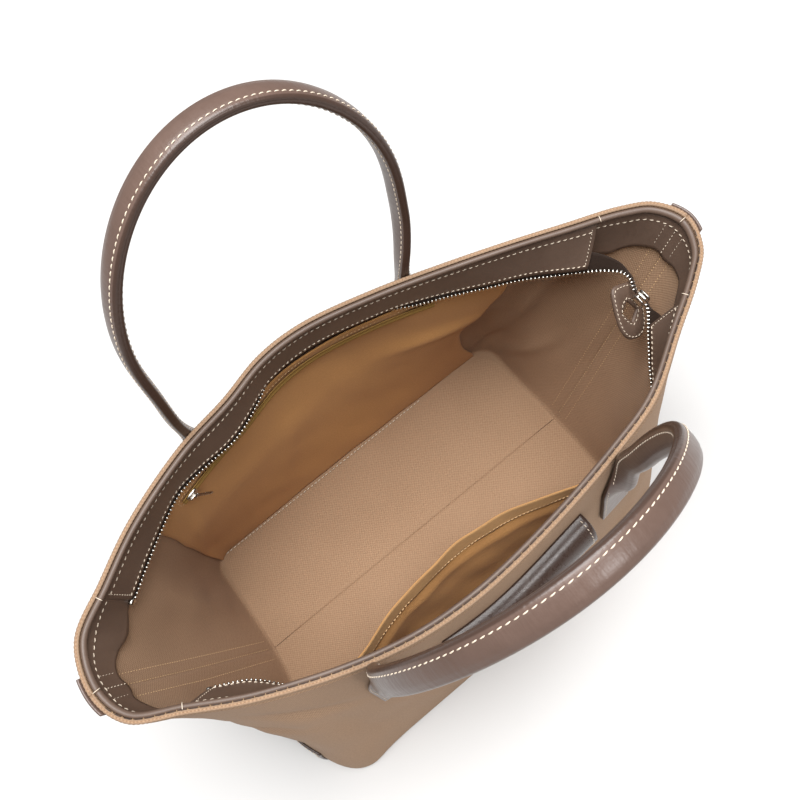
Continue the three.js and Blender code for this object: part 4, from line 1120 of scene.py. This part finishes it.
# %% Pocket zip: sunk tape and stitched slot
SLOT_LEFT, SLOT_RIGHT, SLOT_TOP, SLOT_BOTTOM = 0.25, 0.68, 187, 180
SLOT_WIDE, SLOT_TAPE = 228, 0.7
# The tape stands proud by a mean, and dips by so much between its edges
SLOT_PROUD, SLOT_DIP = 0.9, 0.5
SLOT_FACING = unit(np.array([0.0, -1.0, 0.7]))
SLOT_STITCH, SLOT_END_STITCH = (3.0, 2.0, 0.55), (2.6, 1.8, 0.55)


def slot_at(along, rise, depth):
    place = SLOT_LEFT + (SLOT_RIGHT - SLOT_LEFT) * along
    left, right = pocket_read(1, rise), pocket_read(2, rise)
    return pocket_at((place - left) / (right - left), rise, LINING + depth)


along, rise = np.meshgrid(np.linspace(0, 1, 90), np.linspace(SLOT_TOP, SLOT_BOTTOM, 9))
dip = SLOT_PROUD + SLOT_DIP * np.cos(2 * np.pi * (rise - SLOT_BOTTOM) / (SLOT_TOP - SLOT_BOTTOM))
grids = [slot_at(along, rise, depth + dip) for depth in (SLOT_TAPE, 0)]
cloth = np.stack([along * SLOT_WIDE, rise], -1)
strip = add_sheet("pocket_zip_ribbon", *grids, cloth, POCKET_RIBS, "pocket_tape", ["pocket_zip_tape"])
run = np.linspace(-0.01, 1.01, 160)
up = np.linspace(SLOT_BOTTOM - 1.4, SLOT_TOP + 1.4, 12)
rows = [stitch_points(slot_at(run, level, 0.0), SLOT_FACING, *SLOT_STITCH)
        for level in (SLOT_TOP + 1.6, SLOT_BOTTOM - 1.6)]
rows += [stitch_points(slot_at(end, up, 0.0), SLOT_FACING, *SLOT_END_STITCH) for end in (-0.012, 1.012)]
sew("stitches_pocket_zip", rows, TAN_THREAD, "pocket_cloth")

# %% Slider of the pocket zip
PULL_SLIDER_OFF = 2.4
middle_rise = (SLOT_TOP + SLOT_BOTTOM) / 2
spot = slot_at(0.035, middle_rise, PULL_SLIDER_OFF)
run = unit(slot_at(0.06, middle_rise, PULL_SLIDER_OFF) - slot_at(0.01, middle_rise, PULL_SLIDER_OFF))
off = unit(np.cross(run, UP))
off = off if off[1] < 0 else -off
upright = np.cross(run, off)
upright = upright if upright[2] > 0 else -upright
hang = unit(0.55 * run - 0.8 * UP + 0.25 * off)
flat_side = unit(np.cross(hang, off))
edgewise = np.cross(hang, flat_side)
# Body, bail, pull and ring: offset from the middle, axes, half sizes
PULL_BARS = [
    (0 * run, [run, upright, off], (4.6, 3.0, 1.3)),
    (off * 1.9 - run * 1.0, [run, upright, off], (2.6, 0.8, 0.9)),
    (off * 2.0 + hang * 9.5, [hang, flat_side, edgewise], (7.0, 1.1, 0.6)),
    (off * 2.2 + hang * 2.2, [flat_side, hang, edgewise], (2.0, 0.8, 0.6)),
]
slider = merge([rounded_bar(spot + offset, axes, halves) for offset, axes, halves in PULL_BARS])
add_piece("pocket_zip_slider_and_pull", *slider, NICKEL, "metal", ["pocket_zip_slider"])
print("pocket slider at", spot.round(1))

# %% Slip pocket
SLIP_LEFT, SLIP_RIGHT, SLIP_HEM, SLIP_FOOT = 1.8, 1.25, 140, 3
SLIP_BELLY, SLIP_REST = 52, 1.6
SLIP_WIDE, SLIP_TALL = 300, 140
SLIP_SLACK, SLIP_SLACK_SIZE, SLIP_SEED = 1.0, 50, 29
HEM_WIDE, HEM_THICK = 7, 0.9
# The hem turns out over the top of the cloth: its share of the swell, and how far down that reaches
HEM_FLARE, HEM_FLARE_DOWN = 0.18, 0.12
HEM_STITCH, HEM_ROW, HEM_ROW_RISE = (3.0, 2.1, 0.7), 0.85, 137.0
hem_share = HEM_WIDE / (SLIP_HEM - SLIP_FOOT)


def slip_at(across, down, depth):
    place = SLIP_LEFT + (SLIP_RIGHT - SLIP_LEFT) * across
    rise = SLIP_HEM + (SLIP_FOOT - SLIP_HEM) * down
    fall = (1 - HEM_FLARE) * np.cos(np.pi / 2 * down) + HEM_FLARE * np.maximum(0, 1 - down / HEM_FLARE_DOWN)
    stand = SLIP_REST + SLIP_BELLY * np.sin(np.pi * across) * fall
    return wall_at(place, rise, CANVAS + GAP + stand + depth)


def slip_layer(downs, near, far):
    """Both faces of a layer of the slip pocket, with its slack, and their cloth coordinates."""
    across, down = np.meshgrid(np.linspace(0, 1, 110), downs)
    flat = np.stack([across * SLIP_WIDE, down * SLIP_TALL], -1)
    slack = SLIP_SLACK * ripple(flat[..., 0], flat[..., 1], SLIP_SLACK_SIZE, SLIP_SEED) * bulge(across)
    return slip_at(across, down, far + slack), slip_at(across, down, near + slack), flat


layer = slip_layer(np.linspace(0, 1, 52), 0, LINING)
slip = add_sheet("slip_pocket_lining", *layer, LINING_WEAVE, "pocket_cloth", ["pocket_front"])
# The hem band wears the greyer hem cloth: painted light for the lit band against the shaded pocket.
layer = slip_layer(np.linspace(-0.006, hem_share, 10), -HEM_THICK, -0.02)
hem = add_sheet("slip_pocket_hem", *layer, LIT_HEM_WEAVE, "pocket_cloth")
run = np.linspace(0.01, 0.99, 200)
inward = inward_at(SLIP_LEFT + (SLIP_RIGHT - SLIP_LEFT) * run, HEM_ROW_RISE)
rows = [stitch_points(slip_at(run, hem_share * HEM_ROW, depth), facing * inward, *HEM_STITCH)
        for depth, facing in ((LINING, 1), (-HEM_THICK, -1))]
sew("stitches_slip_hem", rows, TAN_THREAD, "pocket_cloth")

# %% [markdown]
# ## Handles
# Each handle is one long strip of thick leather, folded lengthwise and sewn near its open edges, the fold
# away from the bag. At each foot the fold opens out into a flat tab that is sewn to the wall. A bevelled
# curve could make the loop, but not a fold that opens, so the section itself is worked out for each station
# and swept along the loop.

# %% Section of the folded strap
STRAP_WIDE, STRAP_FOLD, STRAP_LEAF, STRAP_SEAT, STRAP_CREASE = 16, 7.4, 2.9, 0.6, 0.1
STRAP_REACH = STRAP_WIDE - STRAP_LEAF
STRAP_SLIT = 15.9
FOLD_STEPS = np.linspace(0, np.pi / 2, 7)[1:]
# The sewn edge is burnished round while the fold is shut, and the open tab's edge is nearly square
EDGE_SHUT, EDGE_OPEN = 2.2, 0.6
EDGE_TURNS = np.linspace(0, np.pi / 2, 6)
LEAF_STEPS = 9
# How far from the fold the leaf begins in an open tab, and how near to the fold a shut leaf is fullest
LEAF_FIRST, LEAF_FULL = 3, 0.66


def leaf_point(opened, run, lift):
    """A point on one leaf of the strap: across the strap, and in towards the bag."""
    angle = opened * np.pi / 2
    along, out = np.array([np.sin(angle), np.cos(angle)]), np.array([np.cos(angle), -np.sin(angle)])
    return np.array([STRAP_CREASE, STRAP_LEAF]) + along * run + out * lift


def leaf_lift(opened, run):
    """How thick the leaf is at this run, fuller near its middle while it is folded shut."""
    full = (STRAP_FOLD / 2 - STRAP_LEAF) * (1 - opened)
    return STRAP_LEAF + full * np.sin(np.pi * np.clip(run / STRAP_REACH, 0, 1) ** LEAF_FULL)


def strap_section(opened):
    """The strap's section, from the middle of the fold round both leaves and back."""
    first = LEAF_FIRST * opened
    shoulder = leaf_point(opened, first, STRAP_LEAF)
    half = [np.array([shoulder[0] * np.sin(t), shoulder[1] * (1 - np.cos(t))]) for t in FOLD_STEPS]
    edge = EDGE_SHUT + (EDGE_OPEN - EDGE_SHUT) * opened
    for run in np.linspace(first, STRAP_REACH - edge, LEAF_STEPS)[1:-1]:
        half.append(leaf_point(opened, run, leaf_lift(opened, run)))
    for t in EDGE_TURNS:
        run = STRAP_REACH - edge * (1 - np.sin(t))
        half.append(leaf_point(opened, run, STRAP_LEAF - edge * (1 - np.cos(t))))
    half.append(leaf_point(opened, STRAP_REACH - 0.05, 0.05))
    slit = STRAP_SLIT + (STRAP_LEAF - STRAP_SLIT) * opened
    half = np.array(half)
    return np.concatenate([[(0, 0)], half, [(0, slit)], half[::-1] * [-1, 1]])


# The points of half a section that lie on the cut edge, counted from the fold
edge_first = len(FOLD_STEPS) + LEAF_STEPS - 2
half_count = edge_first + len(EDGE_TURNS) + 1
on_edge = np.zeros(2 * half_count + 2)
on_edge[edge_first + 3 : 2 * half_count - edge_first] = 1
print("strap section has", len(strap_section(0.0)), "points,", int(on_edge.sum()), "of them on the cut edge")

# %% Stations along the loops
LOOP_HALF, LOOP_STRAIGHT, LOOP_ARCH, LOOP_START = 91, 108, 104, 200
# Each handle: side, x of its feet and of its loop, how it stands, slopes, bends and sways, how much of its
# tilt is twisted away (below zero adds tilt), and how much higher its feet begin to open
HANDLES = {
    "handle_back": dict(
        side=0, left=-86, right=84, centre=0, stand=110,
        slope=0.034, bend=0.0007, sway=0.085, twist=0.6, lift=9),
    "handle_front": dict(
        side=1, left=-82, right=105, centre=9, stand=87,
        slope=-0.114, bend=0.00124, sway=0.056, twist=-0.25, lift=0),
}
# A foot from its flat tab up: rise, how far open, how free of the wall
FOOT = [
    (145, 1, 0), (165, 1, 0), (182, 1, 0), (190, 0.85, 0), (198, 0.55, 0), (207, 0.25, 0), (217, 0.06, 0),
    (229, 0, 0), (242, 0, 0.35), (255, 0, 0.75), (270, 0, 1),
]
FINE = 5
SOFTEN = 9


def soften(values):
    """A column of numbers along the strap, each the mean of its neighbours."""
    padded = np.pad(values, SOFTEN // 2, mode="edge")
    return np.convolve(padded, np.full(SOFTEN, 1 / SOFTEN), mode="valid")


def handle_stations(side, left, right, centre, stand, slope, bend, sway, twist, lift):
    """Spine points, directions in towards the bag and how far the fold is open, from foot to foot."""
    sign = 1 if side == 0 else -1

    def outward_at(climb):
        lean = slope + 2 * bend * climb
        untwisted = 1 - twist * np.clip(climb / (LOOP_STRAIGHT + LOOP_ARCH), 0, 1)
        return unit(np.array([0, sign, -lean * untwisted]))

    def loop_at(x, climb):
        out = sign * (stand + slope * climb + bend * climb**2)
        middle = np.array([centre + x + sway * climb, out, LOOP_START + climb])
        return middle + outward_at(climb) * STRAP_WIDE / 2

    def foot(end):
        for rise, opened, free in FOOT:
            rise += lift if opened < 1 else 0
            place, climb = place_of(side, left if end < 0 else right, rise), rise - LOOP_START
            reach = strap_section(opened)[:, 1].max()
            wall = wall_at(place, rise, -(STRAP_SEAT + reach))
            spine = wall + (loop_at(end * LOOP_HALF, climb) - wall) * free
            yield spine, unit(inward_at(place, rise) * (1 - free) - outward_at(climb) * free), opened

    climbs = np.linspace(FOOT[-1][0] + lift - LOOP_START, LOOP_STRAIGHT, 5)[1:-1]
    turns = np.linspace(np.pi, 0, 27)
    path = [(-LOOP_HALF, climb) for climb in climbs]
    path += [(LOOP_HALF * np.cos(t), LOOP_STRAIGHT + LOOP_ARCH * np.sin(t)) for t in turns]
    path += [(LOOP_HALF, climb) for climb in climbs[::-1]]
    stations = list(foot(-1))
    stations += [(loop_at(x, climb), -outward_at(climb), 0.0) for x, climb in path]
    stations += list(foot(1))[::-1]
    spine, inward, opened = (np.array(column, float) for column in zip(*stations))
    fine = np.linspace(0, len(spine) - 1, (len(spine) - 1) * FINE + 1)
    index = np.arange(len(spine))
    inward = unit(np.column_stack([soften(np.interp(fine, index, column)) for column in inward.T]))
    spine = np.column_stack([soften(column) for column in smooth_curve(spine, False, FINE).T])
    return spine, inward, soften(np.interp(fine, index, opened))


# %% Handles
STRAP_STITCH, STRAP_ROW, STRAP_ROW_SUNK, STRAP_SLANT = (4.0, 2.8, 0.7), 3.0, 0.2, 0.12
TAB_FOOT_STITCH, TAB_FOOT_ROW = (2.9, 1.7, 0.4), 2
SHUT_BELOW, TAB_ABOVE = 0.3, 0.45


def strap_across(spine, inward):
    """The direction across the strap at each station."""
    return unit(np.cross(unit(np.gradient(spine, axis=0)), inward))


def leaf_line(chosen, run, sign):
    """Points and normals along the outer face of one leaf, at the chosen stations."""
    spine, inward, opened = (column[chosen] for column in stations)
    across = strap_across(spine, inward)
    flat = np.array([leaf_point(o, run, leaf_lift(o, run)) for o in opened])
    angle = opened * np.pi / 2
    line = spine + across * (sign * flat[:, :1]) + inward * flat[:, 1:]
    normal = across * (sign * np.cos(angle))[:, None] - inward * np.sin(angle)[:, None]
    return line, normal


for name, values in HANDLES.items():
    stations = handle_stations(**values)
    spine, inward, opened = stations
    sections = np.array([strap_section(o) for o in opened])
    run, girth = lengths_along(spine), lengths_along(sections[len(spine) // 2])
    across = strap_across(spine, inward)
    rings = spine[:, None] + across[:, None] * sections[..., :1] + inward[:, None] * sections[..., 1:]
    cloth = np.stack(np.broadcast_arrays(run[:, None], girth[None]), -1).reshape(-1, 2)
    cloth = np.concatenate([cloth, cloth[:1], cloth[-1:]])
    strap = add_piece("folded_" + name, *tube_mesh(rings), STRAP_LEATHER, "handle_leather", [name], cloth)
    paint = np.concatenate([np.tile(on_edge, len(run)), [0, 0]])
    strap.data.attributes.new(CUT_EDGE, "FLOAT", "POINT").data.foreach_set("value", paint)
    rows = []
    second_half = np.arange(len(run)) > len(run) / 2
    for sign in (-1, 1):
        line, normal = leaf_line(opened < SHUT_BELOW, STRAP_REACH - STRAP_ROW, sign)
        rows.append(stitch_points(line - normal * STRAP_ROW_SUNK, normal, *STRAP_STITCH, slant=STRAP_SLANT))
        for end in (~second_half, second_half):
            line = leaf_line((opened > TAB_ABOVE) & end, STRAP_REACH - TAB_FOOT_ROW, sign)
            rows.append(stitch_points(*line, *TAB_FOOT_STITCH))
    sew("stitches_" + name, rows, LINEN, "handle_leather")
    print(name, "runs", round(run[-1]), "mm over its loop")

# %% [markdown]
# ## Outer trims
# A half-round leather sleeve sits on the outside of the front wall, open at both ends. Leather strips cover
# the two end seams, and patches guard the lower end walls. Each follows the wall and has a row of stitches
# near its edge.

# %% Sleeve
SLEEVE_LEFT, SLEEVE_RIGHT, SLEEVE_TOP, SLEEVE_BOTTOM = -42, 73, 200, 168
SLEEVE_PROUD, SLEEVE_THICK = 15, 2
SLEEVE_STITCH, SLEEVE_ROWS = (3.2, 2.0, 0.6), (0.028, 0.972)
sleeve_places = [place_of(1, x, SLEEVE_TOP) for x in (SLEEVE_LEFT, SLEEVE_RIGHT)]


def sleeve_at(along, turn, inset):
    """A point on the sleeve: along it, turned round from its top edge, and so far in from its outer face."""
    place = sleeve_places[0] + (sleeve_places[1] - sleeve_places[0]) * along
    tall = (SLEEVE_TOP - SLEEVE_BOTTOM) / 2 - inset
    rise = (SLEEVE_TOP + SLEEVE_BOTTOM) / 2 + tall * np.cos(turn)
    return wall_at(place, rise, -(GAP + (SLEEVE_PROUD - inset) * np.sin(turn)))


along, turn = np.meshgrid(np.linspace(0, 1, 70), np.linspace(0, np.pi, 40))
grids = [sleeve_at(along, turn, inset) for inset in (0, SLEEVE_THICK)]
cloth = np.stack([along * (SLEEVE_RIGHT - SLEEVE_LEFT), turn * SLEEVE_PROUD], -1)
add_sheet("half_round_sleeve", *grids, cloth, TRIM_LEATHER, "handle_leather", ["front_sleeve"])
rows = []
turn = np.linspace(0.15, np.pi - 0.15, 50)
for end in SLEEVE_ROWS:
    line = sleeve_at(end, turn, 0.0)
    rows.append(stitch_points(line, line - sleeve_at(end, turn, 3.0), *SLEEVE_STITCH))
sew("stitches_sleeve", rows, LINEN, "handle_leather")

# %% End strips and base patches
TRIM_THICK, TRIM_INSET, TRIM_STITCH = 1.8, 3, (3.6, 2.2, 0.6)
# Trim: reach towards the back and the front in mm, top, bottom, length of the wall there, leather, slot
TRIMS = {
    "end_strip": (12, 12, 235.5, 45.3, WALL_LENGTH, STRAP_LEATHER, "handle_leather"),
    "base_patch": (54, 90, 44.7, 6, base_back.length, TRIM_LEATHER, "facing_leather"),
}
# End: name, place, which way the back lies
ENDS = (("left", 0, 1), ("right", 1, -1))
HEM_STEP, HEM_STEP_RISE, HEM_STEP_OVER = 1.3, 222, 8


def trim_at(place, rise, lift):
    """A point on a trim, which steps out where it passes over the hem."""
    step = HEM_STEP * ease(np.clip((np.asarray(rise) - HEM_STEP_RISE) / HEM_STEP_OVER, 0, 1))
    return wall_at(place, rise, -(GAP + lift + step))


rows = []
for kind, (to_back, to_front, top, bottom, length, material, slot) in TRIMS.items():
    for hand, end, way in ENDS:
        name = f"{kind}_{hand}"
        first, last = end - way * to_front / length, end + way * to_back / length
        place, rise = np.meshgrid(np.linspace(first, last, 60), np.linspace(top, bottom, 60))
        grids = [trim_at(place, rise, lift) for lift in (TRIM_THICK, 0)]
        add_sheet("sewn_" + name, *grids, np.stack([place * length, rise], -1), material, slot, [name])
        inset = TRIM_INSET / length * np.sign(last - first)
        up = np.linspace(bottom + TRIM_INSET, top - TRIM_INSET, 80)
        run = np.linspace(first + inset, last - inset, 60)
        edges = [(first + inset, up), (last - inset, up), (run, top - TRIM_INSET), (run, bottom + TRIM_INSET)]
        for place, rise in edges:
            line = trim_at(place, rise, TRIM_THICK)
            rows.append(stitch_points(line, -inward_at(place, rise), *TRIM_STITCH))
sew("stitches_outer_trims", rows, LINEN, "handle_leather")

# %% [markdown]
# ## Floor and light
# The photograph is a plain studio shot: a white ground, a broad soft light from above, and a faint shadow.
# One large area light gives the shadow, a small one in front draws the gleam on the front handle and on the
# sleeve, and a pale world fills the rest.

# %% Floor, lights and world
FLOOR_HALF, FLOOR_BELOW = 3.0, 0.0006
WORLD_STRENGTH = 0.25
# Lights: name, place, what it looks at, width and height, power
LIGHTS = [
    ("overhead_softbox", (0.06, 0.12, 1.9), (0, 0, 0.1), (1.5, 1.5), 71),
    ("front_softbox", (0.34, -1.06, 1.08), (0.05, -0.1, 0.4), (0.25, 0.25), 4),
]
floor_mesh = bpy.data.meshes.new("studio_floor")
corners = [(x * FLOOR_HALF, y * FLOOR_HALF, 0) for x, y in ((-1, -1), (1, -1), (1, 1), (-1, 1))]
floor_mesh.from_pydata(corners, [], [(0, 1, 2, 3)])
floor = add_object("studio_floor", floor_mesh)
floor.location.z = -FLOOR_BELOW
# Matt paper: no gloss, a little under white so that the soft shadow can still be seen
paper, _, _ = new_material("matt_white_studio_paper", Roughness=0.95, Base_Color=from_hex("#d0cfce"))
floor_mesh.materials.append(paper)
floor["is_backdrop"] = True
for name, place, target, (width, height), power in LIGHTS:
    data = bpy.data.lights.new(name, "AREA")
    data.shape = "RECTANGLE"
    data.size, data.size_y = width, height
    data.energy = power
    back = -unit(np.array(target) - np.array(place))
    right = unit(np.cross(UP, back))
    add_object(name, data).matrix_world = standing(right, np.cross(back, right), back, place)
world = bpy.data.worlds.new("studio")
bpy.context.scene.world = world
world.use_nodes = True
sky = world.node_tree.nodes["Background"]
sky.inputs["Color"].default_value = from_hex("#ffffff")
sky.inputs["Strength"].default_value = WORLD_STRENGTH
bpy.context.scene.view_settings.view_transform = "Standard"
print("lights:", [light[0] for light in LIGHTS])

# %% [markdown]
# ## Finish
# The last cell prints the size of the dressed bag.

# %% Sizes and finish
low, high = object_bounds()
print("dressed bag, metres:", [round(side, 4) for side in high - low])
